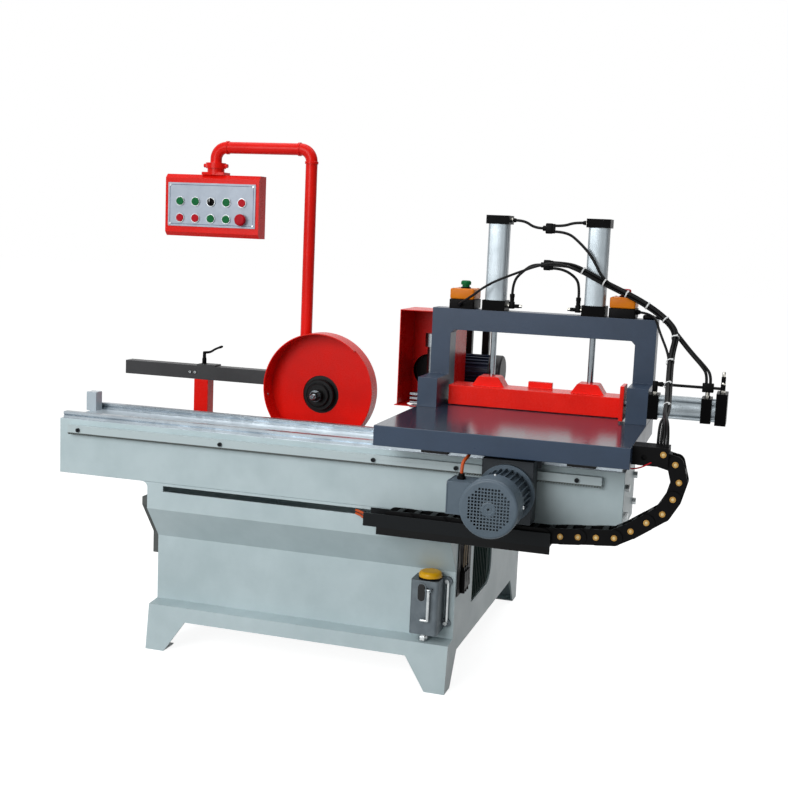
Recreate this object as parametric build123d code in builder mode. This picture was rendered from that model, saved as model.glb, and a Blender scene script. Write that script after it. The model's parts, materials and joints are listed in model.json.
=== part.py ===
from build123d import *
import math
import os

os.makedirs("parts", exist_ok=True)

# Millimetres. X runs along the bed, Y from the operator to the back, Z up.
# The origin is on the floor, at the centre of the four floor anchors.

# Clearances
slide_gap = 0.25
shaft_gap = 0.05
turn_gap = 0.5
free_gap = 1.0

# Base cabinet, folded from sheet
base_length = 1022.0
base_depth = 1097.0
base_height = 563.0
base_sheet = 6.0
ridge_height = 148.0
ridge_setback = 20.0
shoulder_rise = 5.0
panel_setback = 77.0
panel_top = 368.0
band_bottom = 475.0
band_proud = 3.0
foot_width = 65.0
foot_flare = 69.0
arch_height = 102.0
anchor_radius = 9.0
anchor_inset = 36.0
slot_left = -455.0
slot_right = 290.0
slot_height = 19.0
slot_below_top = 3.0
web_radius = 20.0
opening_front = 308.0
opening_width = 284.0
opening_low = 206.0
opening_height = 262.0
opening_corner = 60.0
cover_sheet = 3.0
cover_lap = 12.0
rib_width = 9.0
rib_height = 5.0
rib_count = 9
left_cover_stand = 26.0
left_cover_low = 303.0
left_cover_high = 509.0
left_cover_inset = 14.0
left_cover_depth = 700.0

# Bed beam with its two guide rails
bed_left = -836.0
bed_length = 1848.0
bed_width = 280.0
bed_height = 182.0
bed_wall = 10.0
stop_plate_width = 38.0
stop_plate_depth = 40.0
stop_plate_height = 65.0
stop_plate_overhang = 14.0
stop_plate_from_front = 183.0
rail_width = 23.0
rail_height = 22.0
rail_inset = 5.0
rail_spacing = 225.0
rail_groove = 2.0

# Feed rack and pinion
tooth_module = 2.5
rack_teeth_left = 189
rack_teeth_right = 33
rack_thickness = 22.0
rack_pitch_below_bed = 45.5
rack_back = 28.5
pressure_angle = math.radians(20)
backlash = 0.2
pinion_teeth = 22
pinion_width = 18.0
screw_head_radius = 6.5
screw_head_height = 7.0
rack_screws = (-754.0, -246.0, 262.0, 520.0, 878.0)
end_bolt_across = 19.0
end_bolt_height = 12.0
end_bolt_inset_y = 32.0
end_bolt_inset_z = 50.0

# Carriage table on four rail blocks
table_centre = 668.0
table_width = 738.0
table_overhang = 149.0
table_depth = 660.0
table_plate = 8.0
table_apron = 60.0
block_length = 84.0
block_width = 60.0
block_height = 40.0
pad_height = 49.0
pad_width = 56.0
block_from_end = 150.0

# Gantry
gantry_depth = 74.0
gantry_inset = 2.0
post_width = 65.0
gantry_height = 314.0
crossbeam_height = 70.0
corner_chamfer = 12.0
shelf_depth = 144.0
left_shelf_height = 95.0
right_shelf_height = 111.0

# Clamp beam and its two air cylinders
clamp_left_gap = 15.0
clamp_right_gap = 29.0
clamp_depth = 110.0
clamp_front_reach = 52.0
clamp_height = 64.0
clamp_lift = 2.0
rod_pad_base = 108.0
rod_pad_top = 66.0
rod_pad_height = 32.0
rod_pad_depth = 72.0
rod_pad_inset = 34.0
rod_pad_corner = 10.0
lug_width = 80.0
lug_height = 20.0
lug_depth = 20.0
cylinder_spacing = 326.0
cap_side = 76.0
low_cap = 34.0
high_cap = 28.0
barrel_side = 68.0
barrel_corner = 10.0
barrel_bulge = 4.0
barrel_length = 248.0
groove_width = 6.0
groove_depth = 3.0
groove_pitch = 24.0
bore_radius = 31.5
rod_radius = 10.0
piston_height = 20.0
tie_nut_radius = 6.5
tie_nut_height = 4.0

# Side pusher with its tandem air cylinder
pusher_from_clamp = 52.0
pusher_height_above_table = 58.0
pusher_plate_thickness = 13.0
pusher_plate_width = 87.0
pusher_plate_low = 6.0
pusher_plate_high = 115.0
pusher_gap = 8.0
side_front_cap = 31.0
side_barrel = 127.0
side_middle_cap = 31.0
side_second_gap = 12.0
side_end_cap = 33.0
side_end_side = 96.0
side_end_rise = 8.0
side_barrel_radius = 34.0
side_second_radius = 30.0
tie_rod_radius = 4.5
tie_rod_pitch = 56.0

# Two-hand button boxes on the gantry
left_box_from_end = 54.0
right_box_from_end = 71.0
box_from_front = 2.0
box_width = 84.0
box_depth = 104.0
box_base_height = 31.0
box_lid_height = 35.0
box_lid_chamfer = 5.0
start_radius = 17.0
stop_radius = 20.0
mushroom_height = 14.0
mushroom_stem = 12.5
mushroom_stand = 12.0
plunger_depth = 22.0

# Feed drive under the table front
drive_from_centre = 22.0
gearbox_width = 150.0
gearbox_low = 88.0
gearbox_high = 96.0
gearbox_depth = 70.0
gearbox_behind = 9.0
drive_plate_width = 170.0
drive_plate_low = 740.0
flange_radius = 84.0
flange_thickness = 12.0
motor_radius = 74.0
motor_length = 140.0
fin_count = 28
fin_height = 8.0
fin_width = 2.6
fan_cover_radius = 82.0
fan_cover_length = 78.0
fan_cover_wall = 2.0
grille_radius = 64.0
grille_hole = 6.0
grille_pitch = 9.0
terminal_width = 68.0
terminal_depth = 95.0
terminal_height = 92.0
terminal_from_cover = 16.0
gland_radius = 9.0
gland_from_left = 30.0
gland_height = 12.0
pinion_shaft_radius = 11.0

# Cable chain
chain_pitch = 50.6
chain_height = 46.0
chain_width = 56.0
chain_from_base = 66.0
chain_low = 556.0
chain_left = 345.0
lower_links = 13
cambered_links = 4
chain_camber = 5.0
loop_angles = (29, 35, 35, 60, 75, 105, 165.5)
upper_links = 12
link_plate = 4.0
link_gap = 0.4
link_bar = 16.0
link_bar_thickness = 3.0
chain_pin_radius = 7.0
chain_pin_head = 1.6
tray_left = 262.0
tray_length = 562.0
tray_side_gap = 6.0
tray_wall = 4.0
tray_wall_height = 36.0
tray_angle_drop = 22.0
tray_angle_inset = 42.0
tray_floor_gap = 1.0
bracket_length = 98.0
bracket_wall = 4.0
bracket_hole_radius = 8.0
bracket_height = 44.0

# Oil pump on the lower front panel
pump_left = 390.0
pump_width = 88.0
pump_depth = 80.0
pump_low = 182.0
pump_height = 170.0
pump_corner = 10.0
cap_radius = 36.0
cap_dome = 24.0
window_width = 23.0
window_height = 54.0
window_from_left = 36.0
window_from_top = 37.0
window_proud = 1.5
lever_radius = 4.5
lever_from_left = 60.0
lever_reach = 96.0
lever_hook = 20.0
lever_stand = 12.0
outlet_radius = 8.0
outlet_length = 28.0
lug_radius = 12.0

# Valve island on the right side of the base
valve_from_front = 133.5
valve_length = 72.0
valve_low = 298.0
valve_base_height = 20.0
valve_stand = 16.0
valve_count = 3
valve_height = 36.0
valve_gap = 4.0
coil_height = 14.0
valve_plate_from_front = 93.5
valve_plate_length = 165.0
valve_plate_low = 284.0
valve_plate_height = 171.0
valve_plate_thickness = 3.0

# Mains entry on the back
mains_x = 330.0
mains_z = 300.0
mains_radius = 14.0
mains_nut = 20.0
mains_bore = 8.0
mains_reach = 34.0

# Work stop at the left
stop_bar_left = -920.0
stop_bar_length = 570.0
stop_bar_side = 50.0
stop_bar_from_front = 567.0
stop_bar_low = 830.0
stop_post_x = -608.0
stop_post_width = 56.0
stop_arm_height = 60.0
stop_arm_low = 618.0
stop_travel = 12.0
clamp_screw_radius = 6.0
stop_screw_left = 44.0
stop_screw_pitch = 20.0
stop_screw_radius = 5.0
clamp_plate_length = 73.0
clamp_plate_left = 17.0
clamp_plate_thickness = 6.0
lever_hub_radius = 8.0
lever_hub_height = 46.0
lever_arm_radius = 5.0
lever_arm_reach = 68.0
lever_arm_rise = 22.0
lever_ball_radius = 5.2

# Trimming saw
saw_x = -153.0
saw_z = 805.0
saw_hood_radius = 203.0
dish_right = 10.0
dish_up = 23.0
saw_hood_front = 537.0
saw_hood_depth = 80.0
saw_hood_sheet = 4.0
saw_rim_step = 16.0
saw_hole_radius = 68.0
arbor_radius = 15.0
arbor_flange_radius = 56.0
arbor_flange = 14.0
arbor_collar_radius = 40.0
arbor_collar = 8.0
arbor_spacer_radius = 22.0
arbor_spacer = 24.0
arbor_nut = 36.0
arbor_nut_height = 16.0
arbor_nose = 18.0
saw_nose_radius = 46.0
saw_nose_length = 60.0
saw_motor_radius = 88.0
saw_motor_length = 250.0
saw_fin_count = 24
pedestal_width = 110.0
pedestal_depth = 200.0
pedestal_plate = 14.0
saw_plate = 7.0

# Cutter spindle with its lift
cutter_x = 258.0
cutter_from_front = 622.0
cutter_radius = 72.0
cutter_low = 742.0
cutter_layers = 14
cutter_layer = 7.6
cutter_wings = 2
cutter_root = 42.0
shaft_radius = 20.0
quill_radius = 65.0
quill_low = 395.0
quill_high = 728.0
bush_wall = 14.0
bush_height = 28.0
cutter_motor_radius = 118.0
cutter_motor_low = 132.0
cutter_motor_fins = 32
cutter_motor_fin = 9.0
cutter_nut_radius = 32.0
cutter_nut_height = 4.5
shaft_stand = 158.0
top_nut_radius = 29.0
top_nut_height = 46.0
hood_left = 156.0
hood_right = 352.0
hood_front = 542.0
hood_depth = 176.0
hood_low = 800.0
hood_high = 1135.0
hood_sheet = 3.0
hood_lip = 10.0
hood_hole_gap = 12.0
duct_radius = 62.5
duct_wall = 2.0
duct_length = 62.0
damper_sheet = 2.0
duct_from_left = 66.0
duct_z = 910.0
lift_post_side = 26.0
lift_post_left = 316.0
lift_post_pitch = 64.0
lift_post_from_front = 912.0
lift_motor_left = 334.0
lift_motor_length = 142.0
lift_motor_radius = 58.0
lift_motor_from_front = 787.0
lift_motor_z = 917.0
lift_cover_length = 46.0
lift_bracket = 10.0

# Control pendant
pipe_radius = 21.2
pipe_wall = 3.0
pendant_x = -230.0
pendant_from_front = 647.0
pendant_height = 1676.0
pendant_reach = 374.0
pendant_bend = 42.0
pendant_foot_radius = 36.0
pendant_foot = 10.0
elbow_bead = 3.0
elbow_bead_length = 9.0
collar_radius = 31.0
collar_height = 44.0
collar_flange = 10.0
collar_plate_width = 88.0
collar_plate_depth = 56.0
collar_rib = 6.0
collar_screw_radius = 7.0
collar_screw_reach = 16.0
panel_width = 374.0
panel_depth = 62.0
panel_low = 1351.0
panel_height = 225.0
panel_bevel = 14.0
panel_sheet = 3.0
face_width = 349.0
face_height = 158.0
face_thickness = 3.0
face_low = 36.0
button_pitch = 61.8
button_row_pitch = 60.5
button_low = 30.0
bezel_radius = 16.5
bezel_height = 5.0
button_radius = 14.5
button_proud = 3.0
button_stem = 14.0
knob_radius = 12.0
knob_grip = 7.0
knob_height = 13.0
mushroom_radius = 21.0
stop_stem = 8.0
stop_stand = 7.5

# Hoses
hose_diameter = 9.0
cable_diameter = 8.0
motor_cable_diameter = 10.0
bend_share = 0.45
fitting_radius = 7.0
fitting_length = 16.0
valve_rise = 40.0
valve_knob_radius = 6.0
valve_knob_reach = 34.0
link_rise = 30.0
link_radius = 4.5
elbow_reach = 24.0
junction_length = 34.0
junction_width = 19.0
junction_height = 28.0
end_fitting_height = 64.0
side_hose_pitch = 12.0
saddle_length = 36.0
saddle_width = 32.0
saddle_height = 14.0
saddle_from_end = 13.0
union_length = 40.0
union_width = 16.0
union_height = 38.0
high_union_drop = 22.0
low_union_rise = 139.0
strand_shift = (4.8, -4.8, 7.9)
bundle_end_back = 13.0
bundle_end_inset = 26.0
bundle_drop = 58.0
end_shift = 9.4

# Derived positions
front_y = -base_depth / 2
back_y = base_depth / 2
side_x = base_length / 2
band_y = front_y - band_proud
panel_y = front_y + panel_setback
bed_right = bed_left + bed_length
bed_back = band_y + bed_width
bed_top = base_height + bed_height
front_rail_y = band_y + rail_inset + rail_width / 2
back_rail_y = front_rail_y + rail_spacing
table_left = table_centre - table_width / 2
table_right = table_centre + table_width / 2
table_front = band_y - table_overhang
table_back = table_front + table_depth
pad_bottom = bed_top + block_height
table_under = pad_bottom + pad_height
table_top = table_under + table_plate
apron_bottom = table_top - table_apron
gantry_left = table_left + gantry_inset
gantry_right = table_right - gantry_inset
gantry_back = table_back
gantry_front = gantry_back - gantry_depth
gantry_top = table_top + gantry_height
cylinder_y = (gantry_front + gantry_back) / 2
cylinder_xs = (table_centre - cylinder_spacing / 2, table_centre + cylinder_spacing / 2)
clamp_left = gantry_left + post_width + clamp_left_gap
clamp_right = gantry_right - post_width - clamp_right_gap
clamp_front = gantry_front - clamp_front_reach
clamp_bottom = table_top + clamp_lift
clamp_top = clamp_bottom + clamp_height
pad_top = clamp_top + rod_pad_height
low_cap_top = gantry_top + low_cap
barrel_top = low_cap_top + barrel_length
cylinder_top = barrel_top + high_cap
pusher_y = clamp_front - pusher_from_clamp
pusher_z = table_top + pusher_height_above_table
pusher_right = gantry_right - post_width - pusher_gap
side_barrel_left = gantry_right + side_front_cap
side_barrel_right = side_barrel_left + side_barrel
second_left = side_barrel_right + side_middle_cap
end_cap_left = second_left + side_second_gap
end_cap_right = end_cap_left + side_end_cap
rack_pitch_z = bed_top - rack_pitch_below_bed
rack_front = band_y - rack_thickness
tooth_pitch = math.pi * tooth_module
pitch_radius = tooth_module * pinion_teeth / 2
drive_x = table_centre + drive_from_centre
drive_z = rack_pitch_z - pitch_radius
gearbox_back = rack_front - gearbox_behind
gearbox_front = gearbox_back - gearbox_depth
flange_front = gearbox_front - flange_thickness
motor_front = flange_front - motor_length
chain_y = front_y - chain_from_base
lower_turns = [0.0] * (lower_links - cambered_links) + [math.radians(chain_camber)] * cambered_links
chain_turns = [math.radians(angle) for angle in loop_angles]
stop_bar_y = front_y + stop_bar_from_front
dish_x = saw_x + dish_right
dish_z = saw_z + dish_up
saw_hood_y = front_y + saw_hood_front
saw_back = saw_hood_y + saw_hood_depth
saw_motor_y = saw_back + saw_nose_length
cutter_y = front_y + cutter_from_front
cutter_high = cutter_low + cutter_layers * cutter_layer
hood_y = front_y + hood_front
hood_back = hood_y + hood_depth
duct_x = hood_left + duct_from_left
pendant_y = front_y + pendant_from_front
panel_x = pendant_x - pendant_reach
panel_top_z = panel_low + panel_height
panel_front = pendant_y - panel_depth / 2
face_front = panel_front - face_thickness
face_bottom = panel_low + face_low
button_left = panel_x - 2 * button_pitch
low_row = face_bottom + button_low
high_row = low_row + button_row_pitch


def slab(x_low, x_high, y_low, y_high, z_low, z_high, mode=Mode.ADD):
    """Add or cut a block between two limits on each axis."""
    middle = ((x_low + x_high) / 2, (y_low + y_high) / 2, (z_low + z_high) / 2)
    with Locations(middle):
        Box(x_high - x_low, y_high - y_low, z_high - z_low, mode=mode)


def upright(x, y, z_low, z_high, radius, mode=Mode.ADD):
    """Add or cut a round bar that stands upright."""
    foot = (Align.CENTER, Align.CENTER, Align.MIN)
    with Locations((x, y, z_low)):
        Cylinder(radius, z_high - z_low, align=foot, mode=mode)


def along_x(x_low, x_high, y, z, radius, mode=Mode.ADD):
    """Add or cut a round bar that lies along X."""
    foot = (Align.CENTER, Align.CENTER, Align.MIN)
    with Locations(Location((x_low, y, z), (0, 90, 0))):
        Cylinder(radius, x_high - x_low, align=foot, mode=mode)


def along_y(y_low, y_high, x, z, radius, mode=Mode.ADD):
    """Add or cut a round bar that lies along Y."""
    foot = (Align.CENTER, Align.CENTER, Align.MIN)
    with Locations(Location((x, y_low, z), (-90, 0, 0))):
        Cylinder(radius, y_high - y_low, align=foot, mode=mode)


def hose(points, diameter, name):
    """A free hose through the points: straight runs joined by tangent arcs."""
    radii = []
    for before, corner, after in zip(points, points[1:], points[2:]):
        run_in = Vector(*corner) - Vector(*before)
        run_out = Vector(*after) - Vector(*corner)
        turn = math.radians(run_in.get_angle(run_out))
        shorter = min(run_in.length, run_out.length)
        radii.append(bend_share * shorter / math.tan(turn / 2))
    with BuildPart() as tube:
        with BuildLine() as path:
            FilletPolyline(*points, radius=radii)
        with BuildSketch(Plane(origin=path.line @ 0, z_dir=path.line % 0)):
            Circle(diameter / 2)
        sweep()
    length = sum(edge.length for edge in path.edges())
    straight = math.pi * diameter**2 / 4 * length
    print(name, [round(radius) for radius in radii], round(tube.part.volume / straight, 4))
    return tube.part


# Folded cabinet that stands on four corner feet and carries everything
with BuildPart() as base_cabinet:
    with BuildSketch(Plane.YZ.offset(-side_x)):
        with BuildLine():
            Polyline(
                (front_y, 0),
                (front_y + ridge_setback, ridge_height),
                (panel_y, ridge_height + shoulder_rise),
                (panel_y, panel_top),
                (band_y, band_bottom),
                (band_y, base_height),
                (back_y, base_height),
                (back_y, 0),
                close=True,
            )
        make_face()
    extrude(amount=base_length)
    with BuildSketch(Plane.YZ.offset(-side_x + base_sheet)):
        with BuildLine():
            Polyline(
                (front_y, 0),
                (front_y + ridge_setback, ridge_height),
                (panel_y, ridge_height + shoulder_rise),
                (panel_y, panel_top),
                (band_y, band_bottom),
                (band_y, base_height),
                (back_y, base_height),
                (back_y, 0),
                close=True,
            )
        make_face()
        offset(amount=-base_sheet, kind=Kind.INTERSECTION)
    extrude(amount=base_length - 2 * base_sheet, mode=Mode.SUBTRACT)
    with BuildSketch(Plane.XZ.offset(base_depth)):
        with BuildLine():
            Polyline(
                (-side_x + foot_width, 0),
                (-side_x + foot_width + foot_flare, arch_height),
                (side_x - foot_width - foot_flare, arch_height),
                (side_x - foot_width, 0),
                close=True,
            )
        make_face()
    extrude(amount=-2 * base_depth, mode=Mode.SUBTRACT)
    with BuildSketch(Plane.YZ.offset(-base_length)):
        with BuildLine():
            Polyline(
                (front_y + foot_width, 0),
                (front_y + foot_width + foot_flare, arch_height),
                (back_y - foot_width - foot_flare, arch_height),
                (back_y - foot_width, 0),
                close=True,
            )
        make_face()
    extrude(amount=2 * base_length, mode=Mode.SUBTRACT)
    # Long slot under the bed, and the opening in the right side
    slot_top = base_height - base_sheet - slot_below_top
    slab(slot_left, slot_right, band_y - free_gap, band_y + base_sheet + free_gap,
         slot_top - slot_height, slot_top, Mode.SUBTRACT)
    with BuildSketch(Plane.YZ.offset(side_x - base_sheet - free_gap)):
        with Locations((front_y + opening_front + opening_width / 2, opening_low + opening_height / 2)):
            Rectangle(opening_width, opening_height)
        fillet(vertices().group_by(Axis.X)[-1].sort_by(Axis.Y)[0], opening_corner)
    extrude(amount=base_sheet + 2 * free_gap, mode=Mode.SUBTRACT)
    # Rounded webs under the two ends of the bed
    for side in (-1, 1):
        with BuildSketch(Plane.XZ.offset(-band_y)):
            with Locations((side * (side_x + web_radius / 2), base_height - web_radius / 2)):
                Rectangle(web_radius, web_radius)
            with Locations((side * (side_x + web_radius), base_height - web_radius)):
                Circle(web_radius, mode=Mode.SUBTRACT)
        extrude(amount=-base_sheet)
    # Guide bush of the cutter quill in the deck, anchor holes and the mains entry
    upright(cutter_x, cutter_y, base_height, base_height + bush_height, quill_radius + bush_wall)
    upright(cutter_x, cutter_y, base_height - 2 * base_sheet, base_height + bush_height + free_gap,
            quill_radius + slide_gap, Mode.SUBTRACT)
    with GridLocations(base_length - 2 * anchor_inset, base_depth - 2 * anchor_inset, 2, 2):
        Cylinder(anchor_radius, 4 * base_sheet, mode=Mode.SUBTRACT)
    along_y(back_y - 2 * base_sheet, back_y + free_gap, mains_x, mains_z,
            mains_radius + shaft_gap, Mode.SUBTRACT)
base_cabinet.part.label = "base_cabinet"
export_step(base_cabinet.part, "parts/base_cabinet.step")

# Ribbed cover inside the right opening, and the boxed cover on the left side
with BuildPart() as side_covers:
    inner_x = side_x - base_sheet
    cover_front = front_y + opening_front
    slab(inner_x - cover_sheet, inner_x, cover_front - cover_lap, cover_front + opening_width + cover_lap,
         opening_low - cover_lap, opening_low + opening_height + cover_lap)
    rib_pitch = (opening_width - opening_corner) / rib_count
    with Locations((inner_x + rib_height / 2, cover_front + (opening_width - opening_corner) / 2,
                    opening_low + opening_height / 2)):
        with GridLocations(0, rib_pitch, 1, rib_count):
            Box(rib_height, rib_width, opening_height - 2 * cover_lap)
    with BuildSketch(Plane.YZ.offset(-side_x - left_cover_stand)):
        with BuildLine():
            Polyline(
                (panel_y + left_cover_inset, left_cover_low),
                (panel_y + left_cover_inset, panel_top + left_cover_inset / 2),
                (band_y + left_cover_inset, band_bottom + left_cover_inset / 2),
                (band_y + left_cover_inset, left_cover_high),
                (band_y + left_cover_depth, left_cover_high),
                (band_y + left_cover_depth, left_cover_low),
                close=True,
            )
        make_face()
    extrude(amount=left_cover_stand)
side_covers.part.label = "side_covers"
export_step(side_covers.part, "parts/side_covers.step")

# Welded box beam with end plates and the travel stop at its left end
with BuildPart() as bed_beam:
    slab(bed_left + bed_wall, bed_right - bed_wall, band_y, bed_back, base_height, bed_top)
    slab(bed_left, bed_right, band_y + bed_wall, bed_back - bed_wall,
         base_height + bed_wall, bed_top - bed_wall, Mode.SUBTRACT)
    slab(bed_left, bed_left + bed_wall, band_y, bed_back, base_height, bed_top)
    slab(bed_right - bed_wall, bed_right, band_y, bed_back, base_height, bed_top)
    stop_x = bed_left - stop_plate_overhang
    stop_y = band_y + stop_plate_from_front
    slab(stop_x, stop_x + stop_plate_width, stop_y, stop_y + stop_plate_depth,
         bed_top, bed_top + stop_plate_height)
bed_beam.part.label = "bed_beam"
export_step(bed_beam.part, "parts/bed_beam.step")

# Two ground rails with a groove on each flank
with BuildPart() as guide_rails:
    with BuildSketch(Plane.YZ.offset(bed_left + bed_wall)):
        for rail_y in (front_rail_y, back_rail_y):
            with Locations((rail_y, bed_top + rail_height / 2)):
                Rectangle(rail_width, rail_height)
            for side in (-1, 1):
                with Locations((rail_y + side * rail_width / 2, bed_top + rail_height / 2)):
                    Rectangle(2 * rail_groove, 3 * rail_groove, rotation=45, mode=Mode.SUBTRACT)
    extrude(amount=bed_length - 2 * bed_wall)
guide_rails.part.label = "guide_rails"
export_step(guide_rails.part, "parts/guide_rails.step")

# Straight rack with its teeth downwards, one space centred on the pinion
with BuildPart() as feed_rack:
    pitch_half = (tooth_pitch / 2 - backlash) / 2
    tip_half = pitch_half - tooth_module * math.tan(pressure_angle)
    root_half = pitch_half + 1.25 * tooth_module * math.tan(pressure_angle)
    tip_z = rack_pitch_z - tooth_module
    root_z = rack_pitch_z + 1.25 * tooth_module
    rack_points = []
    for tooth in range(-rack_teeth_left, rack_teeth_right):
        tooth_x = drive_x + (tooth + 0.5) * tooth_pitch
        rack_points.append((tooth_x - root_half, root_z))
        rack_points.append((tooth_x - tip_half, tip_z))
        rack_points.append((tooth_x + tip_half, tip_z))
        rack_points.append((tooth_x + root_half, root_z))
    rack_left = drive_x - rack_teeth_left * tooth_pitch
    rack_right = drive_x + rack_teeth_right * tooth_pitch
    with BuildSketch(Plane.XZ.offset(-band_y)):
        with BuildLine():
            Polyline(
                (rack_left, rack_pitch_z + rack_back),
                (rack_left, root_z),
                *rack_points,
                (rack_right, root_z),
                (rack_right, rack_pitch_z + rack_back),
                close=True,
            )
        make_face()
    extrude(amount=rack_thickness)
feed_rack.part.label = "feed_rack"
export_step(feed_rack.part, "parts/feed_rack.step")

# Socket screws of the rack and hexagon bolts of the right end plate
with BuildPart() as bed_bolts:
    screw_z = rack_pitch_z + rack_back / 2
    for screw_x in rack_screws:
        along_y(rack_front - screw_head_height, rack_front, screw_x, screw_z, screw_head_radius)
        along_y(rack_front - screw_head_height - free_gap, rack_front - screw_head_height / 2,
                screw_x, screw_z, screw_head_radius / 2, Mode.SUBTRACT)
    with BuildSketch(Plane.YZ.offset(bed_right)):
        with Locations((band_y + bed_width / 2, base_height + bed_height / 2)):
            with GridLocations(bed_width - 2 * end_bolt_inset_y, bed_height - 2 * end_bolt_inset_z, 2, 2):
                RegularPolygon(end_bolt_across / 2, 6, major_radius=False)
    extrude(amount=end_bolt_height)
bed_bolts.part.label = "bed_bolts"
export_step(bed_bolts.part, "parts/bed_bolts.step")

# Sheet trough for the cable chain, welded to the front band
tray_floor = chain_low - chain_height / 2 - tray_floor_gap
tray_inside = chain_width / 2 + tray_side_gap
with BuildPart() as chain_tray:
    tray_right = tray_left + tray_length
    slab(tray_left, tray_right, chain_y - tray_inside, chain_y + tray_inside,
         tray_floor - tray_wall, tray_floor)
    slab(tray_left, tray_right, chain_y - tray_inside - tray_wall, chain_y - tray_inside,
         tray_floor - tray_wall, tray_floor + tray_wall_height)
    slab(tray_left, tray_right, chain_y + tray_inside, chain_y + tray_inside + tray_wall,
         tray_floor - tray_wall, tray_floor + tray_wall_height)
    slab(tray_left + tray_angle_inset, tray_right, chain_y - tray_inside - tray_wall,
         chain_y - tray_inside, tray_floor - tray_wall - tray_angle_drop, tray_floor - tray_wall)
    slab(tray_left, side_x, chain_y + tray_inside + tray_wall, band_y,
         tray_floor - tray_wall, tray_floor)
chain_tray.part.label = "chain_tray"
export_step(chain_tray.part, "parts/chain_tray.step")


def chain_link(outer):
    """One frame link from the pin at the origin to the pin one pitch along X."""
    half = chain_width / 2
    if not outer:
        half = half - link_plate - link_gap
    with BuildPart() as link:
        for face_y in (half, -half + link_plate):
            with BuildSketch(Plane.XZ.offset(-face_y)):
                with Locations((chain_pitch / 2, 0)):
                    SlotCenterToCenter(chain_pitch, chain_height)
            extrude(amount=link_plate)
        bar_z = (chain_height - link_bar_thickness) / 2
        with Locations((chain_pitch / 2, 0, -bar_z), (chain_pitch / 2, 0, bar_z)):
            Box(link_bar, 2 * half, link_bar_thickness)
        if outer:
            for pin_x in (0, chain_pitch):
                along_y(half, half + chain_pin_head, pin_x, 0, chain_pin_radius)
                along_y(-half - chain_pin_head, -half, pin_x, 0, chain_pin_radius)
    return link.part


def chain_run(link_x, link_z, turns, links_before):
    """Links one after the other, each at its own slope, and the place of their last pin."""
    for index, turn in enumerate(turns):
        with Locations(Location((link_x, chain_y, link_z), (0, -math.degrees(turn), 0))):
            add(chain_link((index + links_before) % 2 == 0))
        link_x = link_x + chain_pitch * math.cos(turn)
        link_z = link_z + chain_pitch * math.sin(turn)
    return link_x, link_z


# Links that lie in the trough and rise a little past its end
with BuildPart() as chain_lower_run:
    bend_x, bend_z = chain_run(chain_left, chain_low, lower_turns, 0)
chain_lower_run.part.label = "chain_lower_run"
export_step(chain_lower_run.part, "parts/chain_lower_run.step")

# Links of the bend and of the run that passes under the table
with BuildPart() as drag_chain:
    chain_run(bend_x, bend_z, chain_turns + [math.pi] * upper_links, lower_links)
drag_chain.part.label = "drag_chain"
export_step(drag_chain.part, "parts/drag_chain.step")

# One-shot oil pump: body with lugs and outlet, sight window, cap and lever
pump_right = pump_left + pump_width
pump_front = panel_y - pump_depth
pump_top = pump_low + pump_height
pump_y = panel_y - pump_depth / 2
window_x = pump_left + window_from_left
window_z = pump_top - window_from_top
lever_x = pump_left + lever_from_left
lever_y = pump_front - lever_stand
lever_z = pump_top - 2 * lug_radius
with BuildPart() as oil_pump_body:
    slab(pump_left, pump_right, pump_front, panel_y, pump_low, pump_top)
    fillet(edges().filter_by(Axis.Z).group_by(Axis.Y)[0], pump_corner)
    for lug_z in (pump_low + 2 * lug_radius, pump_top - lug_radius):
        slab(pump_right, pump_right + lug_radius, panel_y - lug_radius, panel_y,
             lug_z - lug_radius, lug_z + lug_radius)
        along_y(panel_y - lug_radius, panel_y, pump_right + lug_radius, lug_z, lug_radius)
    upright(window_x, pump_y, pump_low - outlet_length, pump_low, outlet_radius)
    # Fork that carries the lever pin
    for side in (-1, 1):
        fork_x = lever_x + side * (lever_radius + turn_gap + lever_radius / 2)
        slab(fork_x - lever_radius / 2, fork_x + lever_radius / 2, lever_y - lever_radius, pump_front,
             lever_z - lever_radius, lever_z + lever_radius)
    along_x(lever_x - 3 * lever_radius, lever_x + 3 * lever_radius, lever_y, lever_z,
            lever_radius / 2 + shaft_gap, Mode.SUBTRACT)
    with BuildSketch(Plane.XZ.offset(-pump_front)):
        with Locations((window_x, window_z)):
            SlotOverall(window_height, window_width, rotation=90)
    extrude(amount=window_proud)
oil_pump_body.part.label = "oil_pump_body"
export_step(oil_pump_body.part, "parts/oil_pump_body.step")

with BuildPart() as oil_pump_cap:
    cap_x = pump_right - cap_radius
    cap_y = pump_front + cap_radius + 2 * free_gap
    upright(cap_x, cap_y, pump_top, pump_top + cap_dome / 2, cap_radius - cap_dome / 4)
    upright(cap_x, cap_y, pump_top + cap_dome / 4, pump_top + cap_dome, cap_radius)
    fillet(edges().filter_by(GeomType.CIRCLE).group_by(Axis.Z)[-1], cap_dome / 2)
oil_pump_cap.part.label = "oil_pump_cap"
export_step(oil_pump_cap.part, "parts/oil_pump_cap.step")

with BuildPart() as oil_pump_lever:
    lever_end = lever_z - lever_reach
    upright(lever_x, lever_y, lever_end, lever_z, lever_radius)
    with Locations((lever_x, lever_y, lever_end)):
        Sphere(lever_radius)
    along_x(lever_x - lever_hook, lever_x, lever_y, lever_end, lever_radius)
    with Locations((lever_x - lever_hook, lever_y, lever_end)):
        Sphere(lever_radius)
    along_x(lever_x - 2 * lever_radius, lever_x + 2 * lever_radius, lever_y, lever_z, lever_radius / 2)
oil_pump_lever.part.label = "oil_pump_lever"
export_step(oil_pump_lever.part, "parts/oil_pump_lever.step")

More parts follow.
